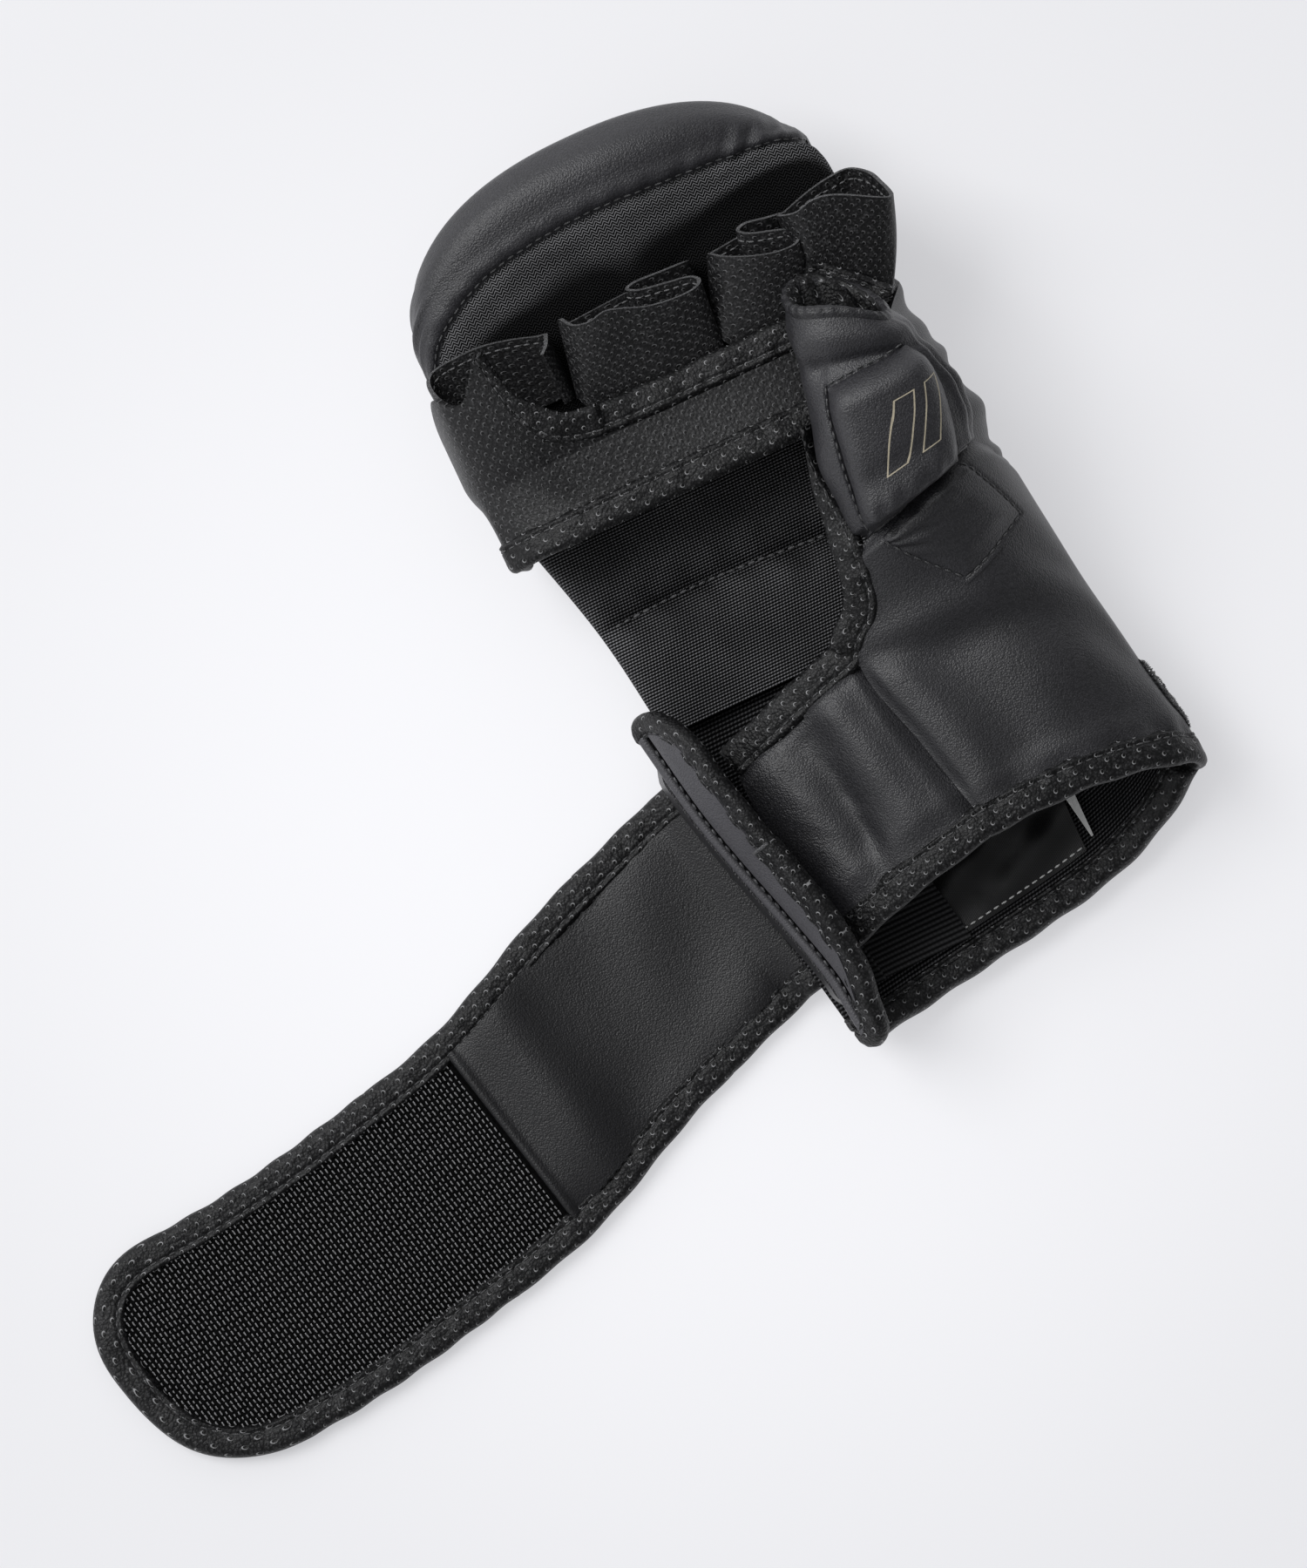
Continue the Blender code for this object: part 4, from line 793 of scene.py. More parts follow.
# Base and mouth from left to right and the belly between them, then the strip's line: share across, mm above the pad,
# mm along at the base and at the mouth
LOOPS = {
    "little": (((-0.0640, -0.0275), (-0.0655, -0.0278), 0.0), (
        (0.26, 15.5, 38.0, 57.0), (0.15, 12.0, 38.0, 58.5), (0.08, 7.0, 38.0, 61.0), (0.04, 1.5, 38.5, 64.5),
        (0.06, -3.0, 40.0, 67.0), (0.14, -4.4, 43.0, 68.5), (0.30, -2.4, 44.0, 70.0), (0.52, -0.8, 44.0, 70.5),
        (0.75, 0.3, 44.0, 68.8), (0.92, 1.0, 44.0, 66.6), (0.985, 3.5, 44.0, 66.8), (0.985, 8.0, 44.0, 67.5),
        (0.955, 12.5, 44.0, 66.5), (0.90, 15.0, 44.0, 65.0))),
    "ring": (((-0.0268, 0.0148), (-0.0226, 0.0166), 0.0), (
        (0.03, 1.0, 43.0, 66.0), (0.30, 0.7, 43.0, 66.5), (0.62, 0.7, 43.0, 67.0), (0.92, 0.8, 43.0, 67.0),
        (1.00, 4.0, 43.0, 69.0), (0.98, 8.0, 43.0, 71.0), (0.80, 10.6, 43.0, 72.8), (0.60, 11.6, 43.0, 74.0),
        (0.52, 13.0, 43.0, 73.6), (0.60, 14.6, 43.0, 72.0), (0.80, 15.4, 43.0, 70.4), (0.96, 16.0, 43.0, 69.0),
        (1.01, 18.0, 36.0, 67.0), (0.95, 19.8, 36.0, 65.6), (0.80, 20.6, 36.0, 65.8), (0.60, 20.8, 36.0, 67.6),
        (0.42, 20.2, 36.0, 71.2), (0.30, 19.8, 36.0, 72.8), (0.18, 19.2, 36.0, 71.0), (0.06, 17.6, 36.0, 71.6),
        (0.00, 14.0, 43.0, 74.0), (-0.01, 10.0, 43.0, 71.0), (0.00, 5.0, 43.0, 68.0), (0.03, 1.0, 43.0, 66.0))),
    "middle": (((0.0156, 0.0434), (0.0230, 0.0468), 0.0), (
        (0.03, 0.4, 43.0, 67.0), (0.35, 0.0, 43.0, 67.5), (0.70, -0.8, 43.0, 67.5), (0.93, -0.6, 43.0, 68.0),
        (1.00, 4.0, 43.0, 70.0), (0.99, 8.0, 43.0, 72.0), (0.78, 10.6, 43.0, 74.4), (0.52, 11.6, 43.0, 76.6),
        (0.41, 13.0, 43.0, 76.0), (0.52, 14.6, 43.0, 73.8), (0.78, 15.4, 43.0, 71.2), (0.97, 16.0, 43.0, 69.0),
        (1.03, 18.0, 36.0, 66.6), (0.94, 19.8, 36.0, 64.6), (0.75, 20.6, 36.0, 65.0), (0.55, 20.7, 36.0, 66.6),
        (0.35, 20.2, 36.0, 68.8), (0.12, 18.4, 36.0, 71.6), (0.00, 14.0, 43.0, 72.5), (-0.01, 10.0, 43.0, 70.5),
        (0.00, 5.0, 43.0, 68.5), (0.03, 0.4, 43.0, 67.0))),
    "index": (((0.0442, 0.0640), (0.0450, 0.0752), 0.0012), (
        (0.03, -1.0, 43.0, 68.0), (0.35, -2.4, 43.0, 70.5), (0.60, -4.2, 36.0, 71.0), (0.80, -6.0, 38.0, 70.0),
        (0.95, -3.5, 34.0, 67.0), (1.00, 2.5, 31.0, 64.5), (1.02, 9.0, 30.0, 63.5), (1.01, 15.0, 30.0, 63.5),
        (0.94, 18.8, 32.0, 65.5), (0.80, 20.4, 34.0, 69.5), (0.62, 20.8, 36.0, 74.5), (0.45, 20.8, 36.0, 78.0),
        (0.30, 20.6, 36.0, 78.6), (0.15, 20.0, 36.0, 76.4), (0.04, 17.5, 43.0, 75.6), (0.00, 13.0, 43.0, 74.0),
        (0.00, 6.0, 43.0, 71.0), (0.03, -1.0, 43.0, 68.0))),
}


def knots(count, share):
    """Weights of evenly spaced points on a smooth curve, one row for each share from 0 to 1."""
    place = np.clip(share, 0.0, 1.0) * (count - 1)
    first = np.minimum(place.astype(int), count - 2)
    t = place - first
    weights = 0.5 * np.stack([-t + 2.0 * t ** 2 - t ** 3, 2.0 - 5.0 * t ** 2 + 3.0 * t ** 3,
                              t + 4.0 * t ** 2 - 3.0 * t ** 3, -t ** 2 + t ** 3], -1)
    rows = np.zeros((len(t), count + 2))
    for step in range(4):
        rows[np.arange(len(t)), first + step] += weights[:, step]
    rows[:, 1] += 2.0 * rows[:, 0]
    rows[:, 2] -= rows[:, 0]
    rows[:, -2] += 2.0 * rows[:, -1]
    rows[:, -3] -= rows[:, -1]
    return rows[:, 1:-1]


def curve(points, share):
    return knots(len(points), share) @ np.array(points, float)


def loop_strip(spans, line):
    (left, right), (mouth_left, mouth_right), belly = spans

    def place(u, v):
        across, above, base, mouth = curve(line, u).T
        sag = 0.35 * np.sin(v * 3.1 + 9.0 * u) + 0.25 * np.sin(17.0 * u + 2.0 * v)
        x = mix(mix(left, mouth_left, v), mix(right, mouth_right, v), across) + belly * np.sin(np.pi * v) * across
        tuck = 3.2 * ease(15.0, 19.0, above) * (1.0 - v) ** 2
        return pad_place(x, 0.001 * mix(base, mouth, v), PAD_HALF_THICKNESS + 0.001 * (above - tuck + sag * v))
    return place


def pile_finish(name, dark, light):
    """Brushed fibres, dull and tangled."""
    material, tree, shader, source = new_finish(name, 0.95, 0.04)
    curls = texture(tree, "TexNoise", source, Scale=1500.0, Detail=4.0, Roughness=0.8, Distortion=1.5).outputs["Fac"]
    coat(tree, shader, ranged(tree, curls, 0.35, 0.65, 0.0, 1.0), dark, light, curls, 0.0006)
    return material


punched_suede = perforated_finish("punched_suede", SUEDE_DARK, SUEDE_LIGHT, SUEDE_PAINTED_GLINT, 0.0026, 0.00046, 0.44,
                                  gloss=0.30, depth=0.00022)
raw_edge = pile_finish("raw_suede_edge", (0.022, 0.022, 0.023), (0.215, 0.215, 0.220))
share = np.linspace(0.0, 1.0, 400)
hem_v = np.full(400, 0.90)
for finger, (spans, line) in LOOPS.items():
    strip = loop_strip(spans, line)
    walk = walked(strip(share, np.ones(400)))[-1]
    loop = sewn_panel("finger_strip_" + finger, lifted(strip, -0.5 * SUEDE), lifted(strip, 0.5 * SUEDE),
                      (int(walk / 0.0008), 36), (walk, 0.031), punched_suede, raw_edge)
    hem_up = facing(strip, share, hem_v)
    hem_row = stitch_row("finger_hem_" + finger, strip(share, hem_v) + hem_up * 0.5 * SUEDE, hem_up, grey_thread,
                         pitch=0.0027, length=0.0019, thick=0.00062)
    for piece in (loop, hem_row):
        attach(piece, "loop_" + finger)
    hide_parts("finger_loop_" + finger)


# Palm band
# A broad strip of the same suede arched over the palm from one side of the pad to the other, with a tape along each
# edge. On the little-finger side it runs on up as the wall of that loop, and the upper tape turns up along the cut.
BAND_FOOT_Z = 0.0242
BAND_TOP_Z = 0.0515
BAND_HALF_WIDTH = 0.0671
BAND_LOW_Y = 0.0097
BAND_HALF_THICKNESS = 0.0008
BAND_TAPE_WIDTH = 0.0082
BAND_TAPE = {"half": 0.0020, "middle": 0.0, "pucker": 0.00035}
# Share of the way round the arch, and the place of its upper edge
BAND_RIM = ((0.0, 0.044), (0.05, 0.0505), (0.09, 0.0545), (0.12, 0.0545), (0.15, 0.0520), (0.18, 0.0503),
            (0.21, 0.0508), (0.24, 0.0540), (0.27, 0.0590), (0.284, 0.0606), (0.291, 0.0570), (0.297, 0.0500),
            (0.304, 0.0440), (0.316, 0.0385), (0.336, 0.0335), (0.37, 0.0292), (0.43, 0.0266), (0.50, 0.0258),
            (1.0, 0.0256))


def band_place(u, v):
    """Arch over the palm. Its little-finger end rises along the wall of the loop, and both feet are tucked in."""
    angle = np.pi * (1.0 - u)
    x = PAD_CENTRE_X + BAND_HALF_WIDTH * power(np.cos(angle), 2.0 / 3.0)
    y = mix(BAND_LOW_Y, reading(BAND_RIM, u), v)
    z = BAND_FOOT_Z + (BAND_TOP_Z - BAND_FOOT_Z) * power(np.sin(angle), 2.0 / 3.0)
    slack = 0.0006 * np.sin(x / 0.011 + y / 0.006) + 0.0005 * np.sin(x / 0.023 - y / 0.009 + 1.0)
    turn_fold = 0.0012 * hump(x + 0.6 * y, -0.030, 0.0035) * hump(y, 0.024, 0.010) * hump(x, -0.048, 0.012)
    lean = 0.42 * np.maximum(y - 0.025, 0.0) * ease(0.0, 0.14, u)
    tuck = ease(0.13, 0.0, u) * ease(0.030, 0.009, y)
    x = x + 0.0062 * tuck - 0.0028 * ease(0.88, 1.0, u)
    return np.stack([x, y, z + slack + turn_fold + lean - 0.0105 * tuck], -1)


band_steps = np.linspace(0.0, 1.0, 400)
band_walk = walked(band_place(band_steps, np.full(400, 0.3)))


def band_map(u, v):
    return np.stack([np.interp(u, band_steps, band_walk), mix(BAND_LOW_Y, reading(BAND_RIM, u), v)], -1)


def line_rail(path, ups):
    """Rail along a line of points, even in its length, and that length. The way out lies to the left of travel."""
    run = walked(path)

    def rail(u):
        up = unit(read_line(ups, run, u * run[-1]))
        ahead = read_line(path, run, np.minimum(u + 0.012, 1.0) * run[-1])
        behind = read_line(path, run, np.maximum(u - 0.012, 0.0) * run[-1])
        return read_line(path, run, u * run[-1]), unit(np.cross(up, ahead - behind)), up
    return rail, run[-1]


band = sewn_panel("palm_band_suede", lifted(band_place, -BAND_HALF_THICKNESS), lifted(band_place, BAND_HALF_THICKNESS),
                  (260, 44), band_map, punched_suede)
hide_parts("palm_band")
bound_edge("palm_band_low_tape", edge_rail(band_place, "v", 0.0), 0.165, ["palm_band_lower_binding"], "glove",
           width=BAND_TAPE_WIDTH, **BAND_TAPE)
rim_u = np.linspace(0.286, 1.0, 500)
rim_line = band_place(rim_u, np.ones(500))
top_edge, top_length = line_rail(rim_line, facing(band_place, rim_u, np.full(500, 0.9)))
top_tape = bound_edge("palm_band_top_tape", top_edge, top_length, ["palm_band_upper_binding"], None,
                      width=lambda u: mix(0.0018, BAND_TAPE_WIDTH, ease(0.02, 0.22, u)), **BAND_TAPE)
# A tape sewn along the foot of the index loop: across and along the pad
INDEX_BASE = ((0.0645, 0.0315), (0.0610, 0.0365), (0.0565, 0.0435), (0.0510, 0.0505), (0.0460, 0.0555))
knee = curve(INDEX_BASE, np.linspace(0.0, 1.0, 120))
knee_line = pad_place(knee[:, 0], knee[:, 1], np.full(120, PAD_HALF_THICKNESS + 0.0216))
knee_edge, knee_length = line_rail(knee_line, np.tile([0.0, -0.25, 1.0], (120, 1)))
bound_edge("index_base_tape", knee_edge, knee_length, None, "loop_index", width=0.0070, half=0.0014, middle=0.0,
           pucker=0.00050)
for piece in (band, *top_tape):
    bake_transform(piece)


# Palm side of the cuff
# Two leather panels, lined with knit, close the palm side from the flap to the thumb. They meet in a deep plain seam,
# a tape binds the palm opening and another the mouth, and a pointed patch is sewn on below the thumb.
PANEL_LINING = 0.0016
CUFF_PANEL = (
    ((-0.031, -0.077, 0.031), (-0.030, -0.093, 0.031), (-0.028, -0.110, 0.031), (-0.026, -0.127, 0.031)),
    ((-0.017, -0.072, 0.0365), (-0.016, -0.088, 0.037), (-0.0145, -0.105, 0.037), (-0.013, -0.1225, 0.037)),
    ((-0.0025, -0.067, 0.042), (-0.0015, -0.083, 0.0425), (0.000, -0.100, 0.0425), (0.002, -0.118, 0.0425)),
    ((0.0137, -0.0620, 0.0454), (0.0170, -0.0785, 0.0460), (0.0216, -0.0955, 0.0460), (0.0262, -0.1126, 0.0460)),
)
THENAR_PANEL = (
    ((0.0245, -0.1128, 0.047), (0.042, -0.112, 0.0475), (0.060, -0.1125, 0.0455), (0.076, -0.115, 0.040),
     (0.0855, -0.118, 0.0325), (0.0885, -0.1205, 0.0256), (0.0868, -0.121, 0.0160)),
    ((0.0188, -0.090, 0.0473), (0.040, -0.090, 0.048), (0.058, -0.091, 0.047), (0.072, -0.092, 0.0415),
     (0.0815, -0.094, 0.033), (0.0845, -0.096, 0.0262), (0.0834, -0.097, 0.0158)),
    ((0.0125, -0.0632, 0.0464), (0.032, -0.066, 0.0495), (0.052, -0.068, 0.0495), (0.066, -0.070, 0.044),
     (0.076, -0.071, 0.0355), (0.0805, -0.074, 0.0272), (0.0798, -0.075, 0.0158)),
    ((0.0235, -0.050, 0.051), (0.036, -0.050, 0.0545), (0.050, -0.0495, 0.0555), (0.062, -0.050, 0.0515),
     (0.072, -0.052, 0.042), (0.0775, -0.054, 0.0302), (0.0771, -0.0555, 0.0168)),
    ((0.0265, -0.033, 0.058), (0.034, -0.030, 0.0645), (0.043, -0.0268, 0.068), (0.056, -0.0222, 0.0672),
     (0.0672, -0.0190, 0.0565), (0.0740, -0.0275, 0.036), (0.0745, -0.0330, 0.0185)),
)


def net(rows, u, v):
    rows = np.array(rows, float)
    return np.einsum("nr,nc,rcd->nd", knots(len(rows), v), knots(rows.shape[1], u), rows)


def cuff_panel(u, v):
    return net(CUFF_PANEL, u, v)


def thenar_panel(u, v):
    return net(THENAR_PANEL, u, v)


def cuff_panel_swell(u, v):
    """Soft folds along the panel: a roll beside the seam and a slack fold half way to the flap."""
    valley = mix(0.46, 0.57, u) + 0.02 * np.sin(5.0 * u)
    fold = 0.0026 * hump(v, valley + 0.25, 0.11) + 0.0015 * hump(v, valley - 0.24, 0.16)
    fold -= mix(0.0018, 0.0036, u) * hump(v, valley, mix(0.13, 0.085, u))
    fold *= 1.0 - 0.7 * ease(0.74, 1.0, u) - 0.5 * ease(0.16, 0.0, u)
    sink = -0.0026 * ease(0.90, 1.0, v) + 0.0006 * hump(u, 0.88, 0.08)
    ripple = 0.00030 * np.sin(11.0 * v + 8.0 * u) * np.sin(5.0 * u + 1.0)
    drawn = 17.0 * v - 9.0 * u + 1.3 * np.sin(6.0 * u)
    ripple += 0.00030 * np.sin(drawn) * hump(v, valley, 0.30)
    ripple += 0.00016 * np.sin(2.3 * drawn + 1.0) * hump(v, valley - 0.1, 0.2)
    return LEATHER + fold + sink + 0.5 * ripple - 0.0004 * hump(u, 0.03, 0.03)


def thenar_swell(u, v):
    """Roll beside the seam, slack over the ball of the thumb and wrinkles drawn in under the crease."""
    on_cuff = 1.0 - ease(0.42, 0.55, v)
    roll = (0.0020 * hump(u, 0.075, 0.055) - 0.0026 * ease(0.035, 0.0, u)) * on_cuff
    roll -= 0.0012 * hump(u, 0.20, 0.07) * on_cuff * (1.0 - 0.5 * v)
    roll *= 1.0 - 0.6 * ease(0.12, 0.0, v)
    slack = 0.0016 * hump(v, 0.62, 0.10) * hump(u, 0.30, 0.22) - 0.0013 * hump(v, 0.50, 0.08) * hump(u, 0.24, 0.18)
    bend = 0.0011 * np.sin(9.0 * v - 5.0 * u + 0.6) * hump(u, 0.45, 0.25) * hump(v, 0.30, 0.25)
    gathers = 0.0006 * np.sin(16.0 * v + 9.0 * u) * hump(u, 0.62, 0.16) * (1.0 - ease(0.75, 0.95, v))
    hem = 0.0005 * hump(v, 0.05, 0.04) + 0.0004 * np.sin(41.0 * u) * hump(v, 0.0, 0.05)
    crease = -0.0058 * ease(0.955, 1.0, v) * hump(u, 0.36, 0.34)
    return LEATHER + roll + slack + bend + gathers + hem + crease


def opening_edge():
    """Edge of the palm opening: along the cuff panel, up the thenar panel, and on beside the thumb."""
    cuff_steps = np.array([0.02, 0.25, 0.50, 0.75, 0.96])
    thenar_steps = np.array([0.60, 0.70, 0.80, 0.90])
    zeros = np.zeros(5)
    thumb_path = [(0.0262, -0.0330, 0.0570), (0.0258, -0.0230, 0.0570), (0.0246, -0.0125, 0.0575),
                  (0.0243, -0.0040, 0.0590), (0.0262, 0.0040, 0.0610)]
    thumb_faces = [(-0.55, 0.10, 0.80)] + [(-0.60, 0.0, 0.80)] * 4
    path = np.concatenate([cuff_panel(zeros, cuff_steps), thenar_panel(zeros[:4], thenar_steps), thumb_path])
    faces = np.concatenate([facing(cuff_panel, zeros, cuff_steps), facing(thenar_panel, zeros[:4], thenar_steps),
                            thumb_faces])
    share = np.linspace(0.0, 1.0, 400)
    return line_rail(curve(path, share), curve(faces, share))


panels = (
    ("cuff_palm_leather", cuff_panel, cuff_panel_swell, (70, 90), (0.058, 0.053),
     ["cuff_panel_cover", "cuff_panel_lining"]),
    ("thenar_leather", thenar_panel, thenar_swell, (150, 130), (0.11, 0.09),
     ["thenar_panel_cover", "thenar_panel_lining"]),
)
for name, surface, swell, cells, size, nodes in panels:
    panel = sewn_panel(name, lifted(surface, -PANEL_LINING), lifted(surface, swell), cells, size, black_leather)
    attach(panel, "glove")
    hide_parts(*nodes)
opening_rail, opening_length = opening_edge()
opening_tape = bound_edge("palm_opening_tape", opening_rail, opening_length, ["palm_opening_binding"], None,
                          width=lambda u: mix(TAPE_WIDTH, 0.0004, ease(0.70, 0.97, u)), pucker=0.00040)
for piece in opening_tape:
    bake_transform(piece)
bound_edge("cuff_palm_mouth_tape", edge_rail(cuff_panel, "u", 1.0), 0.058, ["cuff_panel_mouth_binding"], "glove",
           pucker=0.00030)
bound_edge("thenar_mouth_tape", edge_rail(thenar_panel, "v", 0.0), 0.088, ["thenar_mouth_binding"], "glove",
           pucker=0.00045)

# The pointed patch: its low, right, left and top corners on the thenar panel
PATCH_CORNERS = np.array([(0.307, 0.690), (0.680, 0.823), (0.110, 0.965), (0.570, 0.998)])


def patch_spot(u, v):
    """Place of the patch on the thenar panel, between its corners."""
    low, right, left, top = PATCH_CORNERS
    near, far = mix(low, right, u[:, None]), mix(left, top, u[:, None])
    return mix(near, far, v[:, None]).T


def patch_place(u, v):
    return thenar_panel(*patch_spot(u, v))


def patch_ground(u, v):
    return thenar_swell(*patch_spot(u, v))


def patch_swell(u, v):
    """Stitched flat along its edges, stuffed a little between them and drawn into wrinkles at the crease."""
    rim = np.minimum(np.minimum(u, 1.0 - u), v)
    spread = np.arctan2(1.03 - v, u + 0.12)
    wrinkles = 0.00030 * np.sin(19.0 * spread + 2.0 * u) * ease(0.30, 0.85, v) * (1.0 - ease(0.35, 0.9, u))
    wrinkles += 0.0005 * np.sin(24.0 * u + 5.0 * v) * ease(0.62, 0.95, v)
    groove = -0.0005 * hump(rim, 0.055, 0.018)
    stuffing = 0.0005 + 0.0013 * ease(0.03, 0.30, rim) * (1.0 - ease(0.92, 1.0, v))
    return patch_ground(u, v) + stuffing + wrinkles * ease(0.0, 0.12, rim) + groove


base_patch = sewn_panel("thumb_base_leather", lifted(patch_place, lambda u, v: patch_ground(u, v) - 0.0004),
                        lifted(patch_place, patch_swell), (80, 80), (0.034, 0.034), black_leather)
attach(base_patch, "glove")
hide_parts("thumb_base_patch")
turns = np.linspace(0.0, 1.0, 260)
patch_u = np.interp(turns, (0.0, 0.36, 0.72, 1.0), (0.055, 0.055, 0.945, 0.945))
patch_v = np.interp(turns, (0.0, 0.36, 0.72, 1.0), (0.97, 0.055, 0.055, 0.90))
patch_line = lifted(patch_place, lambda u, v: patch_swell(u, v) + 0.0002)(patch_u, patch_v)
patch_row = stitch_row("thumb_base_stitching", patch_line, facing(patch_place, patch_u, patch_v), black_thread_painted_glint)
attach(patch_row, "glove")


# Loop patch
# Brushed loop pile that the strap's hooks hold to, sewn flat on the outside of the cuff's back.
# Its frayed end turns up round the thumb side of the cuff.
LOOP_PATCH_Y = (-0.118, -0.072)
TUFTS = 190
# Place across the end and reach of each row of pulled loops
FRAY_ROWS = ((0.58, 0.0014), (0.70, 0.0018), (0.84, 0.0015))


def pile_sheet(height):
    def place(u, v):
        share = mix(0.42, 0.985, u)
        y = mix(*LOOP_PATCH_Y, v)
        x = mix(reading(CUFF_LEFT, y), reading(CUFF_RIGHT, y), share)
        return np.stack([x, y, CUFF_LIFT + edge_rise(share) - 0.0004 + height], -1)
    return place


def pile_end(height):
    """End of the pile, laid on the side of the thenar panel and thinning out at both ends."""
    def place(u, v):
        full = mix(0.3, 1.0, np.sqrt(np.clip(4.0 * v * (1.0 - v), 0.0, 1.0)))
        ragged = 0.006 * np.sin(v * 97.0) * u
        laid = lifted(thenar_panel, lambda a, b: thenar_swell(a, b) + height * full)
        return laid(mix(1.0, 0.80, u) + ragged, mix(0.02, 0.26, v))
    return place


loop_pile = pile_finish("loop_pile", (0.004, 0.004, 0.004), (0.085, 0.085, 0.088))
loop_fuzz = pile_finish("loop_fuzz", (0.015, 0.015, 0.016), (0.42, 0.42, 0.425))
pile_patch = sewn_panel("loop_patch_pile", pile_sheet(-0.0016), pile_sheet(0.0), (40, 28), (0.07, 0.046), loop_pile)
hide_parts("loop_patch")
pile_turn = sewn_panel("loop_patch_end", pile_end(-0.0002), pile_end(0.0006), (16, 60), (0.012, 0.024), loop_pile)
pile_pieces = [pile_patch, pile_turn]
# Pulled loops stand off the end in three rows, each a line that runs out to a tip and back
tufts = np.arange(TUFTS)
for row, (across, reach) in enumerate(FRAY_ROWS):
    fray_line = pile_end(reach * (tufts % 2))(across + 0.03 * np.sin(tufts * 1.7), tufts / (TUFTS - 1.0))
    fray = stitch_row(f"loop_patch_fray_{row}", fray_line, upright(TUFTS), loop_fuzz, pitch=reach, length=0.0013,
                      thick=0.00030)
    pile_pieces.append(fray)
for piece in pile_pieces:
    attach(piece, "glove")


# Thumb
# A leather sleeve that stands over the palm, closed round its upper half and gathered into a taped mouth. A stuffed
# pad is stitched down on its front, with two slanting cream bars printed on it in outline, and it folds over the crease
# at its base.
# Middle, half width and half height of each ring of the sleeve, then its slant, tilt and bow
THUMB_RINGS = (
    (0.0470, -0.0265, 0.0552, 0.0205, 0.0145, 0.27, 0.0, 0.0),
    (0.0475, -0.0080, 0.0605, 0.0225, 0.0150, 0.10, 0.09, 0.0),
    (0.0485, 0.0120, 0.0665, 0.0180, 0.0130, -0.15, 0.20, 0.0005),
    (0.0477, 0.0339, 0.0710, 0.0121, 0.0118, -0.52, 0.50, 0.0039),
)
SLEEVE_THICKNESS = 0.0024
THUMB_PAD_RISE = 0.0066
CREAM = (0.44, 0.39, 0.29)


def thumb_ring(u, v):
    x0, y0, z0, width, height, slant, tilt, bow = curve(THUMB_RINGS, v).T
    angle = np.radians(-90.0) - 2.0 * np.pi * u
    side, top = power(np.cos(angle), 2.0 / 2.4), power(np.sin(angle), 2.0 / 2.4)
    y = y0 + slant * width * side - tilt * height * top - bow * side * side
    return np.stack([x0 + width * side, y, z0 + height * top], -1)


# Turn round the sleeve of the pad's left and right edges, from the crease to its top
PAD_LEFT = ((0.0, 0.360), (0.15, 0.363), (0.38, 0.380), (0.61, 0.387), (0.85, 0.383), (1.0, 0.390))
PAD_RIGHT = ((0.0, 0.600), (0.14, 0.610), (0.47, 0.623), (0.63, 0.633), (0.86, 0.640), (1.0, 0.615))


def pad_top(u):
    return mix(0.643, 0.763, u) - 0.05 * u * (1.0 - u)


def thumb_pad_place(u, v):
    return thumb_ring(mix(reading(PAD_LEFT, v), reading(PAD_RIGHT, v), u), pad_top(u) * v)


def sleeve_turn(u, v):
    """The sleeve is open underneath by the palm and closes towards its mouth."""
    gap = 0.17 * (1.0 - ease(0.50, 0.66, v)) + 0.002
    return mix(gap, 1.0 - gap, u)


def thumb_sleeve(u, v):
    return thumb_ring(sleeve_turn(u, v), v)


def thumb_swell(u, v):
    """Slack leather: a puffed collar below the mouth, a dent beside the pad and pleats down the outer side."""
    turn = sleeve_turn(u, v)
    collar = 0.0015 * hump(v, 0.86, 0.08) - 0.0014 * hump(v, 0.735, 0.035) * hump(turn, 0.46, 0.16)
    dent = 0.0013 * hump(turn, 0.31, 0.04) * hump(v, 0.80, 0.07)
    dent -= 0.0010 * hump(turn, 0.365, 0.035) * hump(v, 0.72, 0.05)
    pleats = 0.0013 * hump(turn, 0.672, 0.017) - 0.0011 * hump(turn, 0.704, 0.014) + 0.0012 * hump(turn, 0.738, 0.020)
    pleats *= hump(v, 0.45, 0.32)
    folds = 0.0003 * np.sin(27.0 * v + 12.0 * turn) * hump(turn, 0.72, 0.07)
    folds += 0.0005 * np.sin(21.0 * v) * hump(turn, 0.28, 0.05)
    beside = turn - reading(PAD_LEFT, v / 0.64) + 0.007
    groove = -0.0018 * hump(beside, 0.0, 0.007) * (1.0 - ease(0.62, 0.68, v))
    return collar + dent + pleats + folds + groove - 0.0030 * ease(0.05, 0.0, v)


def pad_crown(u, v):
    """Stuffing of the pad: sharp beside the stitched edges, rolling down at the right and over the crease."""
    left = 1.0 - (1.0 - np.clip(u / 0.26, 0.0, 1.0)) ** 2.6
    right = 1.0 - (1.0 - np.clip((1.0 - u) / 0.36, 0.0, 1.0)) ** 2.2
    top = 1.0 - (1.0 - np.clip((1.0 - v) / 0.20, 0.0, 1.0)) ** 2.6
    low = 1.0 - (1.0 - np.clip(v / 0.10, 0.0, 1.0)) ** 2.2
    soft = 0.0004 * np.sin(5.0 * u + 6.0 * v) + 0.0008 * hump(v, 0.16, 0.12) - 0.0005 * hump(v, 0.34, 0.10)
    wrinkles = 0.0003 * np.sin(38.0 * u + 4.0 * v) * hump(v, 0.10, 0.10)
    return 0.0005 + (THUMB_PAD_RISE + soft + wrinkles) * left * right * top * low


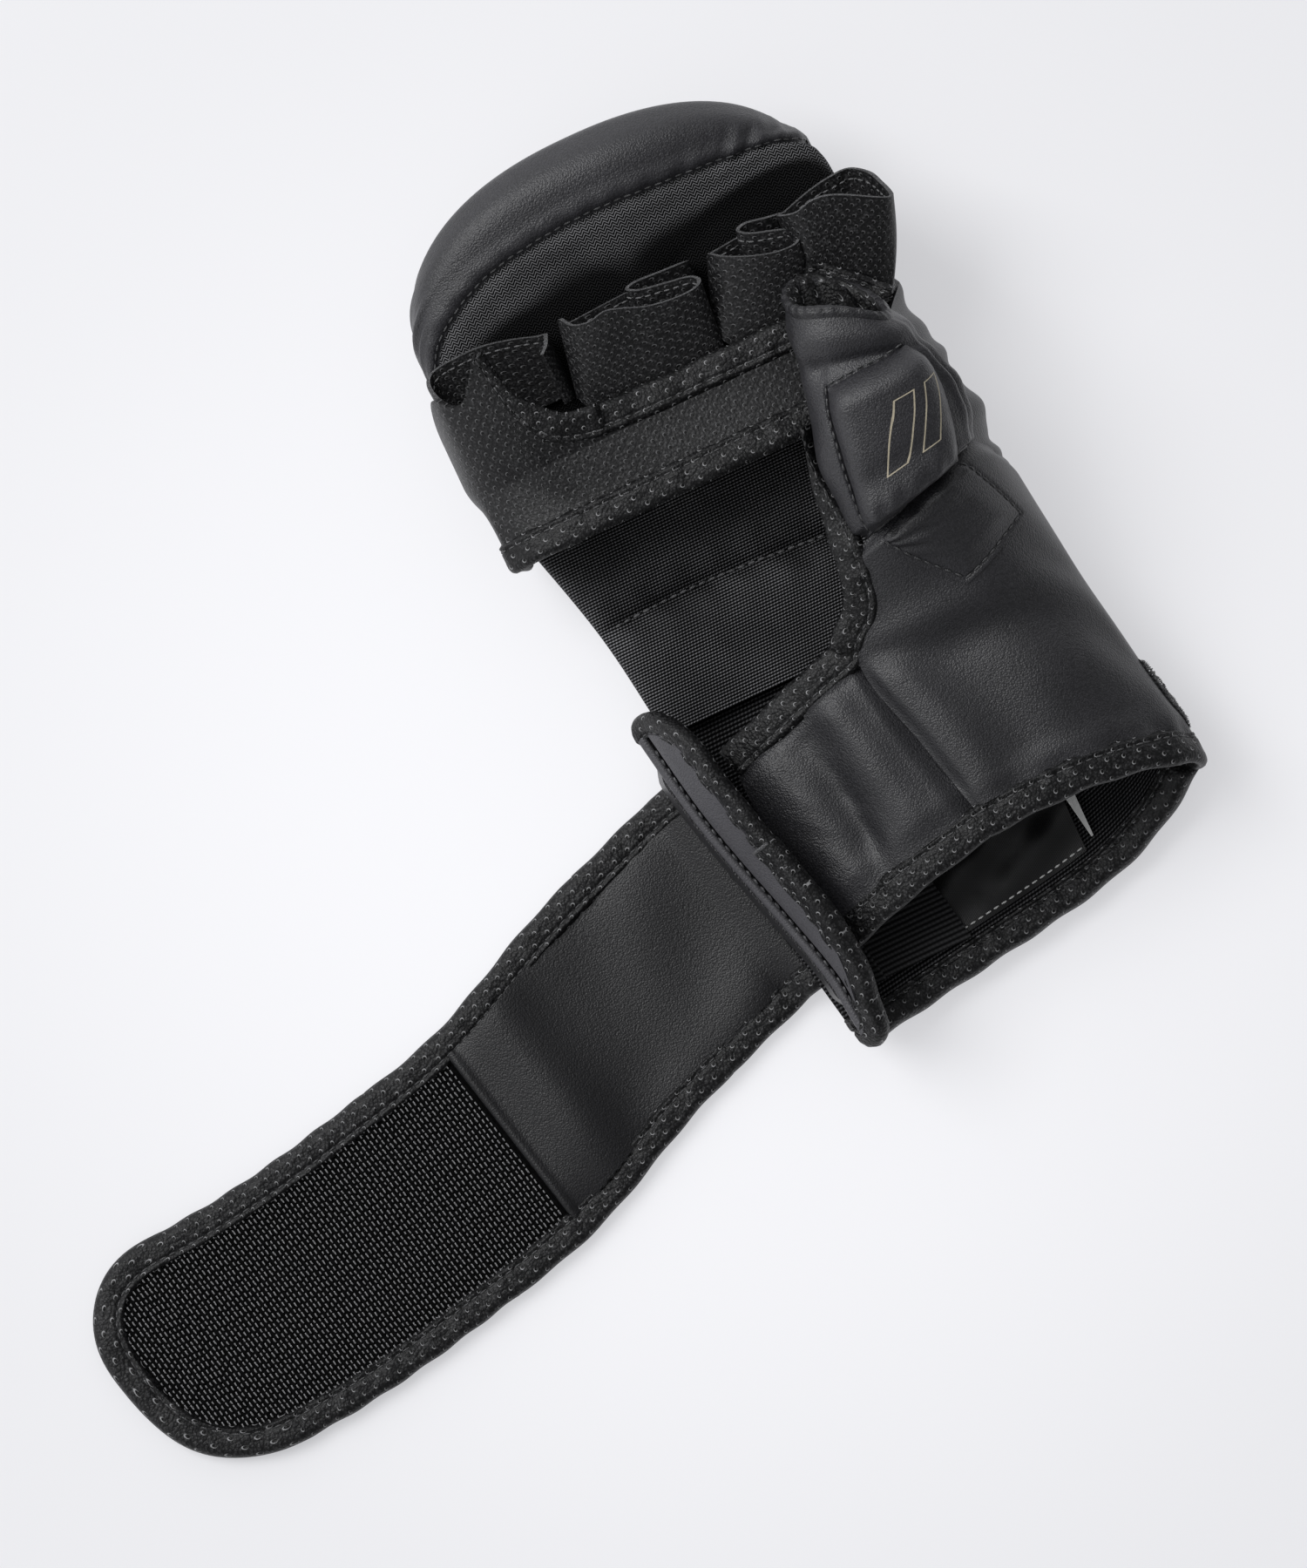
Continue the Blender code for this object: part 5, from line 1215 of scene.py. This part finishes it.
thumb_body = sewn_panel("thumb_sleeve_leather", lifted(thumb_sleeve, -SLEEVE_THICKNESS),
                        lifted(thumb_sleeve, thumb_swell), (170, 120), (0.105, 0.062), pad_leather_painted_lighter)
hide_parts("thumb_sleeve", "thumb_lining")
thumb_pad = sewn_panel("thumb_pad_stuffed", lifted(thumb_pad_place, -0.0012), lifted(thumb_pad_place, pad_crown),
                       (90, 110), (0.030, 0.042), pad_leather_painted_lighter)
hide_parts("thumb_pad_cover", "thumb_pad_foam")
turns = np.linspace(0.0, 1.0, 300)
seam_u = np.interp(turns, (0.0, 0.58, 0.63, 1.0), (-0.035, -0.035, 0.0, 0.98))
seam_v = np.interp(turns, (0.0, 0.58, 0.63, 1.0), (0.02, 1.0, 1.025, 1.025))
seam_up = facing(thumb_pad_place, np.clip(seam_u, 0.0, 1.0), np.clip(seam_v, 0.0, 1.0))
pad_row = stitch_row("thumb_pad_stitching", thumb_pad_place(seam_u, seam_v) + seam_up * 0.0003, seam_up, black_thread_painted_glint)

# Share across the lip, mm beyond the mouth, then mm out from the sleeve on its face and on its sewn side
MOUTH_FOLD = np.array([(0.0, -2.2, 0.55, -0.05), (0.16, -0.8, 1.0, 0.10), (0.30, 0.7, 0.8, 0.10),
                       (0.42, 1.3, -0.4, -0.5), (0.54, 0.9, -1.8, -1.2), (0.68, -0.6, -2.8, -2.0),
                       (1.0, -10.0, -3.6, -2.9)])
LIP_MAP = (0.078, 0.016)
TURNED_IN = 0.44


def mouth_fold(face):
    """Lip of the mouth: leather rolled over the edge, then tape turned in and gathered round the inside."""
    def place(u, v):
        turn = 0.80 + 1.02 * u
        lip = thumb_ring(turn, np.ones_like(u))
        along = unit(lip - thumb_ring(turn, np.full(u.shape, 0.95)))
        out = lip - np.array(THUMB_RINGS[-1][:3])
        out = unit(out - along * np.sum(out * along, axis=1, keepdims=True))
        gather = 0.55 * np.sin(2.0 * np.pi * (15.0 * u + 0.25 * np.sin(14.0 * u))) * ease(0.46, 0.75, v)
        gather += 0.22 * np.sin(2.0 * np.pi * (23.0 * u + 0.3 * np.sin(9.0 * u))) * hump(v, 0.34, 0.2)
        beyond, above = (np.interp(v, MOUTH_FOLD[:, 0], MOUTH_FOLD[:, column]) for column in (1, face))
        return lip + along * (0.001 * (beyond + 0.5 * gather))[:, None] + out * (0.001 * (above + gather))[:, None]
    return place


mouth_tape = sewn_panel("thumb_mouth_tape", mouth_fold(3), mouth_fold(2), (220, 40), LIP_MAP, black_leather)
mouth_tape.data.materials.append(tape_leather)
lip_map = mouth_tape.data.uv_layers.active.data
turned_in = [int(lip_map[face.loop_start].uv.y > TURNED_IN * LIP_MAP[1]) for face in mouth_tape.data.polygons]
mouth_tape.data.polygons.foreach_set("material_index", turned_in)
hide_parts("thumb_mouth_binding")


def print_finish(name, colour):
    """Thin screen print, a little worn."""
    material, tree, shader, source = new_finish(name, 0.6)
    worn = texture(tree, "TexNoise", source, Scale=700.0, Detail=3.0).outputs["Fac"]
    faded = tuple(0.75 * part for part in colour)
    coat(tree, shader, ranged(tree, worn, 0.3, 0.7, 0.0, 1.0), faded, colour, worn, 0.00004)
    return material


cream_print = print_finish("cream_print", CREAM)
BAR_CENTRES = (0.50, 0.74)
BAR_TURNS = (0.0, 0.1, 0.5, 0.6, 1.0)
thumb_print = []
for number, centre in enumerate(BAR_CENTRES, 1):
    def bar_line(u, v, centre=centre):
        a = np.interp(u, BAR_TURNS, (-1.0, 1.0, 1.0, -1.0, -1.0)) * mix(0.066, 0.078, v)
        b = np.interp(u, BAR_TURNS, (-1.0, -1.0, 1.0, 1.0, -1.0)) * mix(0.212, 0.220, v)
        return lifted(thumb_pad_place, lambda s, t: pad_crown(s, t) + 0.00004)(centre + a + 0.30 * b, 0.52 + b)
    bar = sewn_panel(f"thumb_print_bar_{number}", bar_line, lifted(bar_line, 0.00005), (200, 2), (0.04, 0.0005),
                     cream_print)
    thumb_print.append(bar)
for piece in (thumb_body, thumb_pad, pad_row, mouth_tape, *thumb_print):
    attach(piece, "thumb")

# Side of the thumb: leather let in between the back of the hand and the sleeve, slack and folded
THUMB_SIDE = (
    ((0.0722, -0.0390, 0.0095), (0.0712, -0.0240, 0.0090), (0.0690, -0.0095, 0.0090), (0.0664, 0.0070, 0.0095),
     (0.0646, 0.0225, 0.0105), (0.0656, 0.0345, 0.0130)),
    ((0.0738, -0.0390, 0.0186), (0.0731, -0.0240, 0.0188), (0.0716, -0.0095, 0.0190), (0.0690, 0.0070, 0.0196),
     (0.0666, 0.0225, 0.0213), (0.0664, 0.0345, 0.0215)),
    ((0.0706, -0.0345, 0.0400), (0.0722, -0.0215, 0.0408), (0.0719, -0.0080, 0.0420), (0.0694, 0.0075, 0.0440),
     (0.0664, 0.0220, 0.0425), (0.0668, 0.0295, 0.0325)),
    ((0.0630, -0.0290, 0.0545), (0.0641, -0.0180, 0.0560), (0.0650, -0.0060, 0.0580), (0.0640, 0.0080, 0.0600),
     (0.0602, 0.0195, 0.0600), (0.0598, 0.0218, 0.0590)),
)


def gusset_place(u, v):
    return net(THUMB_SIDE, u, v)


def gusset_folds(u, v):
    y = gusset_place(u, v)[:, 1] + 0.004 * (v - 0.5)
    folds = 0.0016 * hump(y, 0.0085, 0.0028) - 0.0013 * hump(y, 0.0035, 0.0022) + 0.0012 * hump(y, -0.010, 0.006)
    folds += 0.0007 * np.sin(y / 0.0021) * hump(v, 0.7, 0.3) - 0.0016 * hump(y, -0.0205, 0.0026)
    return 0.0013 + folds * np.sin(np.pi * np.clip(v, 0.0, 1.0)) ** 0.5


thumb_side = sewn_panel("thumb_side_leather", lifted(gusset_place, -0.0013), lifted(gusset_place, gusset_folds),
                        (110, 66), (0.074, 0.052), black_leather)
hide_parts("thumb_gusset")
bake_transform(thumb_side)


# Side wall, closing flap and elastic
# On the little-finger side a leather wall rises from the cuff and carries a stiff flap that closes over the palm
# panel. The flap has smooth leather on both faces and tape round its free edge; a ribbed elastic joins the panel to
# the lining.
WALL_FOOT_Z = 0.0125
WALL_TOP_Z = 0.0285
WALL_THICKNESS = 0.0045
FLAP_LINE = ((-0.0268, -0.1540), (-0.0488, -0.0565))
FLAP_THICKNESS = 0.0046
FLAP_LEAN = np.radians(30.0)
FLAP_SEAM = 0.0060
FLAP_TAPE_WIDTH = 0.0054
FLAP_TAPE_MIDDLE = 0.0024
# Slack of the fold line off straight: mm along it and mm aside
FLAP_BOW = ((-4.0, -1.2), (3.0, -0.3), (15.0, 1.2), (38.0, 0.2), (55.0, -0.7), (74.0, -1.3), (86.0, -1.0),
            (102.0, 0.0))
# Cut edge of the flap from its wrist end to its hand end: mm along the fold and mm up from it
FLAP_CUT = ((4.0, -1.6), (0.6, -1.2), (-2.0, 0.6), (-2.6, 3.2), (-0.6, 6.0), (6.0, 8.8), (14.0, 12.0), (24.0, 15.6),
            (35.0, 17.6), (50.0, 18.2), (66.0, 18.2), (82.0, 18.2), (90.0, 17.6), (96.0, 15.4), (100.0, 11.4),
            (101.4, 6.4), (101.2, 2.4), (99.6, -0.4), (96.5, -1.4))
flap_foot = np.array([*FLAP_LINE[0], WALL_TOP_Z])
flap_along = np.array([FLAP_LINE[1][0] - FLAP_LINE[0][0], FLAP_LINE[1][1] - FLAP_LINE[0][1], 0.0])
flap_run = np.linalg.norm(flap_along)
flap_along /= flap_run
flap_rise = np.array([0.0, 0.0, np.cos(FLAP_LEAN)]) + np.cross(flap_along, [0.0, 0.0, 1.0]) * np.sin(FLAP_LEAN)
flap_out = np.cross(flap_rise, flap_along)
flap_side = np.array([flap_along[1], -flap_along[0], 0.0])


def flap_fold(along):
    """Line that the flap folds on, at a distance from its wrist end."""
    return flap_foot + flap_along * along[:, None] + flap_side * 0.001 * reading(FLAP_BOW, along * 1000.0)[:, None]


def wall_place(u, v):
    top = flap_fold(mix(0.01, 0.96, u) * flap_run)
    foot = top * [1.0, 1.0, 0.0] - flap_side * 0.0012 + [0.0, 0.0, WALL_FOOT_Z]
    return mix(foot, top + [0.0, 0.0, 0.0006], v[:, None])


def wall_back(u, v):
    return -WALL_THICKNESS * mix(0.25, 1.0, ease(0.0, 0.10, u) * ease(1.0, 0.90, u))


def flap_cut(u, v):
    """Place on the flap between its fold and its cut edge, in metres along and up."""
    along, up = curve(FLAP_CUT, u).T * 0.001
    return mix(np.clip(along, 0.0, flap_run), along, v), mix(0.0004, up, v)


def flap_face(level):
    def place(u, v):
        along, up = flap_cut(u, v)
        return flap_fold(along) + flap_rise * up[:, None] + flap_out * given(level, along, up)[:, None]
    return place


def flap_outer(along, up):
    """Outer face: a rolled rim by the fold, a stitched channel beside it and a full middle."""
    rim = 0.0012 * hump(up, 0.0028, 0.0018) - 0.0022 * ease(0.0014, 0.0, up)
    channel = -0.0017 * hump(up, FLAP_SEAM, 0.0012)
    middle = 0.0010 * hump(up, 0.0100, 0.0050) + 0.00012 * np.sin(along / 0.008)
    return FLAP_THICKNESS + rim + channel + middle


side_wall = sewn_panel("cuff_side_leather", lifted(wall_place, wall_back), lifted(wall_place, 0.0), (60, 14),
                       (0.095, 0.016), black_leather)
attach(side_wall, "glove")
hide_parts("cuff_side_wall")
# Painted light: a much lighter copy of the black leather for the flap's face, which leans towards the light.
flap_leather_painted_lighter = leather_finish("flap_leather_painted_lighter", (0.038, 0.037, 0.042), (0.062, 0.061, 0.068), (0.44, 0.54), 0.00012)
# Painted shade: the sewn line is coloured near black and made dull, as the shade in the channel between the rim and the
# middle of the flap
seam_shade_nodes = flap_leather_painted_lighter.node_tree
flap_shader = seam_shade_nodes.nodes["Principled BSDF"]
flap_tone = flap_shader.inputs["Base Color"]
up_flap = seam_shade_nodes.nodes.new("ShaderNodeSeparateXYZ")
seam_shade_nodes.links.new(seam_shade_nodes.nodes.new("ShaderNodeTexCoord").outputs["UV"], up_flap.inputs["Vector"])
off_line = sums(seam_shade_nodes, "SUBTRACT", up_flap.outputs["Y"], FLAP_SEAM - 0.0006)
beyond_painted_shade = ranged(seam_shade_nodes, sums(seam_shade_nodes, "ABSOLUTE", off_line, 0.0), 0.0004, 0.0012, 0.0, 1.0)
shaded = blend_colours(seam_shade_nodes, beyond_painted_shade, (0.0015, 0.0015, 0.0017), (0.0, 0.0, 0.0))
seam_shade_nodes.links.new(flap_tone.links[0].from_socket, shaded.inputs["B"])
seam_shade_nodes.links.new(shaded.outputs["Result"], flap_tone)
seam_shade_nodes.links.new(ranged(seam_shade_nodes, beyond_painted_shade, 0.0, 1.0, 0.03, 0.5), flap_shader.inputs["Specular IOR Level"])
flap = sewn_panel("flap_leather_plate", flap_face(0.0), flap_face(flap_outer), (180, 50),
                  lambda u, v: np.stack(flap_cut(u, v), -1), flap_leather_painted_lighter)
stitched = np.linspace(0.003, flap_run - 0.003, 300)
sewn_up = FLAP_SEAM - 0.0007
flap_seam = flap_fold(stitched) + flap_rise * sewn_up
flap_seam = flap_seam + np.outer(flap_outer(stitched, np.full(300, sewn_up)) + 0.0005, flap_out)
# Painted glint: the flap's dark thread is coloured lighter so its stitches read against the painted shade of the sewn
# line.
flap_thread_painted_glint = thread_finish("flap_thread_painted_glint", (0.050, 0.050, 0.054), 0.36)
flap_row = stitch_row("flap_stitching", flap_seam, np.tile(flap_out, (300, 1)), flap_thread_painted_glint, pitch=0.0030,
                      length=0.0023, thick=0.0009)
for piece in (flap, flap_row):
    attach(piece, "flap")
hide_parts("flap_cover", "flap_core", "flap_facing")
# The tape starts at the hand end, and a second length laps over it half way down to the wrist end
cut_line = flap_face(0.0)(np.linspace(1.0, 0.0, 500), np.ones(500))
for name, first, last, nodes, half, overlap in (("flap_edge_tape", 40, 254, ["flap_binding"], 0.0026, 0.0016),
                                                ("flap_edge_tape_lap", 238, 456, None, 0.0031, 0.0026)):
    lap, lap_length = line_rail(cut_line[first:last], np.tile(flap_out, (last - first, 1)))

    def lap_width(u, round_end=float(last > 300)):
        from_end = mix(u, 1.0 - u, round_end)
        rounding = 1.0 - np.clip(from_end / 0.05, 0.08, 1.0)
        return FLAP_TAPE_WIDTH * np.sqrt(np.clip(1.0 - rounding ** 2, 0.0, 1.0))

    bound_edge(name, lap, lap_length, nodes, "flap", width=lap_width, half=half, middle=FLAP_TAPE_MIDDLE,
               pucker=0.00040, overlap=overlap)
# The cut end of the second length is raw
lap_face = tape_faces(lap, FLAP_TAPE_WIDTH, half, FLAP_TAPE_MIDDLE, lap_length, overlap=overlap)[1]
cut_end = lap_face(np.zeros(60), np.linspace(0.02, 0.95, 60))
lap_fray = stitch_row("flap_tape_fray", cut_end, np.tile(flap_out, (60, 1)), raw_edge, pitch=0.0005, length=0.0016,
                      thick=0.0013)
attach(lap_fray, "flap")

ELASTIC_Y = (-0.1465, -0.084)
ELASTIC_HALF_THICKNESS = 0.0006
# Section of the elastic: across from the cuff's edge, and height
ELASTIC_BEND = ((0.0165, 0.0272), (0.0125, 0.0250), (0.0125, 0.0210), (0.018, 0.0169), (0.030, 0.0137),
                (0.044, 0.0127))


def elastic_place(u, v):
    y = mix(*ELASTIC_Y, v)
    across, z = curve(ELASTIC_BEND, u).T
    return np.stack([reading(CUFF_LEFT, y) + across, y, z], -1)


def elastic_finish(name):
    """Ribbed webbing: raised cords along its length with rubber lines between them."""
    material, tree, shader, coords = new_finish(name, 0.75, 0.08, "UV")
    ribs = bands(tree, coords, 0.0015, "Y", Distortion=0.4).outputs["Fac"]
    rows = bands(tree, coords, 0.0008, "X", Distortion=0.3).outputs["Fac"]
    weave = sums(tree, "MULTIPLY", ribs, ranged(tree, rows, 0.0, 1.0, 0.7, 1.0))
    coat(tree, shader, weave, (0.0014, 0.0014, 0.0016), (0.048, 0.048, 0.050), weave, 0.00035)
    return material


ribbed_elastic = elastic_finish("ribbed_elastic")
elastic = sewn_panel("elastic_web", lifted(elastic_place, -ELASTIC_HALF_THICKNESS),
                     lifted(elastic_place, ELASTIC_HALF_THICKNESS), (70, 60), (0.042, 0.0625), ribbed_elastic)
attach(elastic, "glove")
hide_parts("elastic_gusset")


# Strap
# A long leather strap sewn under the cuff's edge, with its inner face up: smooth leather at the root, then a hook panel
# to the round tip, and tape folded over its edge all round. It lies on the floor in three lengths and climbs to the
# underside of the cuff at its root.
STRAP_ROOT = (-0.0480, -0.1075)
STRAP_ANGLE = np.radians(-77.3)
# Distance from the root, and how far the strap drifts towards the wrist there
STRAP_DRIFT = ((0.0, 0.0), (0.045, 0.006), (0.090, 0.0155), (0.130, 0.0165), (0.162, 0.0155), (0.190, 0.012),
               (0.226, 0.004))
STRAP_LENGTH = 0.2240
STRAP_HALF_WIDTH = 0.0365
STRAP_TIP = 0.034
STRAP_TAPE = 0.0085
STRAP_MIDDLE = 0.003
STRAP_THICKNESS = 0.0038
HOOK_START = 0.092
HOOK_HEIGHT = 0.0011
HOOK_ROWS = 0.00138
HOOK_GAP = 0.00094
# Ends of the three lengths
STRAP_CUTS = (-0.0195, 0.031, 0.117, STRAP_LENGTH)
strap_along = np.array([np.cos(STRAP_ANGLE), np.sin(STRAP_ANGLE), 0.0])
strap_out = np.array([strap_along[1], -strap_along[0], 0.0])


def strap_point(distance, side, z):
    root = np.array([*STRAP_ROOT, 0.0])
    drift = reading(STRAP_DRIFT, np.maximum(distance, 0.0)) + side
    lift = np.stack([np.zeros_like(z), np.zeros_like(z), z], -1)
    return root + strap_out * distance[:, None] + strap_along * drift[:, None] + lift


def strap_half_width(distance, inset):
    tip = STRAP_TIP - inset
    beyond = np.clip(distance - (STRAP_LENGTH - STRAP_TIP), 0.0, tip)
    return (STRAP_HALF_WIDTH - inset) * (1.0 - (beyond / tip) ** 2.5) ** 0.4


def strap_ground(distance, side):
    """Floor, and by the root the underside of the cuff that the strap climbs to."""
    point = strap_point(distance, side, np.zeros_like(distance))
    edge = reading(CUFF_LEFT, point[:, 1])
    share = np.maximum((point[:, 0] - edge) / (reading(CUFF_RIGHT, point[:, 1]) - edge), 0.0)
    under_cuff = np.maximum(CUFF_LIFT + edge_rise(share) - 0.0072, 0.0)
    return 0.0003 + under_cuff * ease(0.005, -0.006, distance)


def strap_face(cut, high):
    def place(u, v):
        distance = mix(cut[0], min(cut[1], STRAP_LENGTH - STRAP_TAPE - 0.0004), u)
        inset = STRAP_TAPE - 0.0012
        side = strap_half_width(distance, inset) * (1.0 - 2.0 * v)
        z = strap_ground(distance, side)
        if high:
            leather = 1.0 - ease(HOOK_START - 0.0006, HOOK_START + 0.0006, distance)
            roll = 0.0032 * hump(distance, HOOK_START - 0.0190, 0.0100)
            roll += 0.0012 * hump(distance, HOOK_START - 0.0016, 0.0013)
            crown = 0.0006 * (1.0 - (2.0 * v - 1.0) ** 8)
            crown += 0.0011 * np.sin(distance / 0.014 + 3.0 * v + 0.8 * np.sin(5.0 * v))
            crown += 0.0004 * np.sin(distance / 0.0060 + 5.0 * v) * hump(distance, 0.02, 0.03)
            z = z + STRAP_THICKNESS + leather * (0.0010 + (crown + roll) * ease(-0.006, 0.004, distance))
        return strap_point(distance, side, z)
    return place


def strap_rail(distance_at, side_at):
    """Edge of the strap's field, with the way out across the floor."""
    def spot(u):
        return strap_point(distance_at(u), side_at(u), np.full(u.shape, STRAP_MIDDLE))

    def rail(u):
        point = spot(u)
        point[:, 2] += strap_ground(distance_at(u), side_at(u)) - 0.0003
        up = upright(len(u))
        return point, unit(np.cross(spot(np.minimum(u + 0.003, 1.0)) - spot(np.maximum(u - 0.003, 0.0)), up)), up
    return rail


def hook_finish(name):
    """Woven ground that the hooks stand on, close to black."""
    material, tree, shader, source = new_finish(name, 0.7, 0.04)
    weave = texture(tree, "TexNoise", source, Scale=900.0, Detail=3.0).outputs["Fac"]
    shade = ranged(tree, weave, 0.35, 0.65, 0.0, 1.0)
    coat(tree, shader, shade, (0.0005, 0.0005, 0.0005), (0.0030, 0.0030, 0.0032), weave, 0.0002)
    return material


# Painted shade: a darker copy of the black leather for the strap, which lies flat on the floor.
strap_leather_painted_darker = leather_finish("strap_leather_painted_darker", (0.0034, 0.0033, 0.0039), (0.0110, 0.0108, 0.0124), (0.38, 0.44),
                              0.00011, 0.40)
hook_base = hook_finish("hook_base")
# Painted glint: the black nylon hooks are coloured light grey to stand in for the glints on their tops.
hook_nylon_painted_glint = thread_finish("hook_nylon_painted_glint", (0.215, 0.215, 0.220), 0.34)
# Parts of model.glb that each of the three lengths stands in for
strap_nodes = (
    ["strap_anchor", "strap_root_cover", "strap_root_core", "strap_root_facing"],
    ["strap_mid_cover", "strap_mid_core", "strap_mid_facing"],
    ["strap_tip_cover", "strap_tip_core"],
)


def bend_strap(piece):
    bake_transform(piece)


def hook_field(name, start, end, material):
    """Rows of little bent hooks standing on the panel, all in one mesh."""
    bpy.ops.object.select_all(action="DESELECT")
    bpy.ops.mesh.primitive_plane_add(size=1.0)
    outline = np.array([(-0.17, 0.0, 0.0), (0.17, 0.0, 0.0), (0.17, 0.20, 0.60), (-0.17, 0.20, 0.60),
                        (0.17, 0.55, 1.0), (-0.17, 0.55, 1.0), (0.14, 0.95, 0.62), (-0.14, 0.95, 0.62)]) * HOOK_HEIGHT
    faces = ((0, 1, 2, 3), (3, 2, 4, 5), (5, 4, 6, 7))
    spots = []
    for number, distance in enumerate(np.arange(start, end, HOOK_ROWS)):
        reach = strap_half_width(np.array([distance]), STRAP_TAPE + 0.0004)[0]
        sides = np.arange(-reach, reach, HOOK_GAP) + 0.5 * HOOK_GAP * (number % 2)
        spots.append(np.stack([np.full(sides.shape, distance), sides], -1))
    distance, side = np.concatenate(spots).T
    wobble = 0.9 * np.sin(distance * 9100.0) + 0.7 * np.sin(side * 7300.0 + 2.0)
    foot = strap_point(distance + 0.00012 * wobble, side + 0.0001 * np.cos(wobble * 5.0), np.full(side.shape, 0.0041))
    lean = np.where(np.arange(len(side)) % 2 == 0, 1.0, -1.0) * (1.0 + 0.25 * np.sin(wobble * 3.0))
    shape = (foot[:, None, :] + strap_out * outline[None, :, 0:1]
             + strap_along * (outline[None, :, 1:2] * lean[:, None, None])
             + np.array([0.0, 0.0, 1.0]) * outline[None, :, 2:3])
    return grains(bpy.context.object, name, shape, faces, material)


for part in range(3):
    cut = STRAP_CUTS[part:part + 2]
    title = ("root", "mid", "tip")[part]
    run = cut[1] - cut[0]
    field = sewn_panel("strap_leather_painted_darker_" + title, strap_face(cut, False), strap_face(cut, True),
                       (int(run / 0.0009), 50), (run, 0.058), strap_leather_painted_darker)
    field.data.materials.append(hook_base)
    middles = np.array([face.center for face in field.data.polygons])
    ups = np.array([face.normal.z for face in field.data.polygons])
    reach = (middles - np.array([*STRAP_ROOT, 0.0])) @ strap_out
    field.data.polygons.foreach_set("material_index", ((reach > HOOK_START) & (ups > 0.2)).astype(np.int32))
    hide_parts(*strap_nodes[part])
    bend_strap(field)
    if part:
        hook_end = cut[1] - STRAP_TAPE * (part == 2) - 0.0006
        hooks = hook_field("strap_hooks_" + title, max(cut[0], HOOK_START + 0.0015), hook_end, hook_nylon_painted_glint)
        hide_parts("strap_" + title + "_hooks")
        bend_strap(hooks)

edge = STRAP_HALF_WIDTH - STRAP_TAPE
strap_edges = []
for part, title in ((0, "root"), (1, "mid")):
    low = max(STRAP_CUTS[part], -0.012)
    high = STRAP_CUTS[part + 1]
    for way, side, label in ((-1.0, -edge, "upper"), (1.0, edge, "lower")):
        start, end = (low, high) if way < 0.0 else (high, low)
        rail = strap_rail(lambda u, a=start, b=end: mix(a, b, u), lambda u, s=side: np.full(u.shape, s))
        strap_edges.append((part, "strap_" + title + "_tape_" + label, rail, high - low,
                            ["strap_" + title + "_binding_" + label]))


def tip_turn(u):
    return np.clip((u - 0.38) / 0.24, 0.0, 1.0) * np.pi - 0.5 * np.pi


def tip_distance(u):
    straight = STRAP_LENGTH - STRAP_TIP
    run = np.where(u < 0.5, u, 1.0 - u) / 0.38
    bend = straight + (STRAP_TIP - STRAP_TAPE) * power(np.cos(tip_turn(u)), 0.8)
    return np.where(np.abs(u - 0.5) > 0.12, mix(STRAP_CUTS[2], straight, np.minimum(run, 1.0)), bend)


def tip_side(u):
    return edge * power(np.sin(tip_turn(u)), 0.8)


strap_edges.append((2, "strap_tip_tape", strap_rail(tip_distance, tip_side), 0.255, ["strap_tip_binding"]))
for part, name, rail, length, nodes in strap_edges:
    for piece in bound_edge(name, rail, length, nodes, None, width=STRAP_TAPE, half=0.0030, middle=0.0001,
                            pucker=0.00035):
        bend_strap(piece)
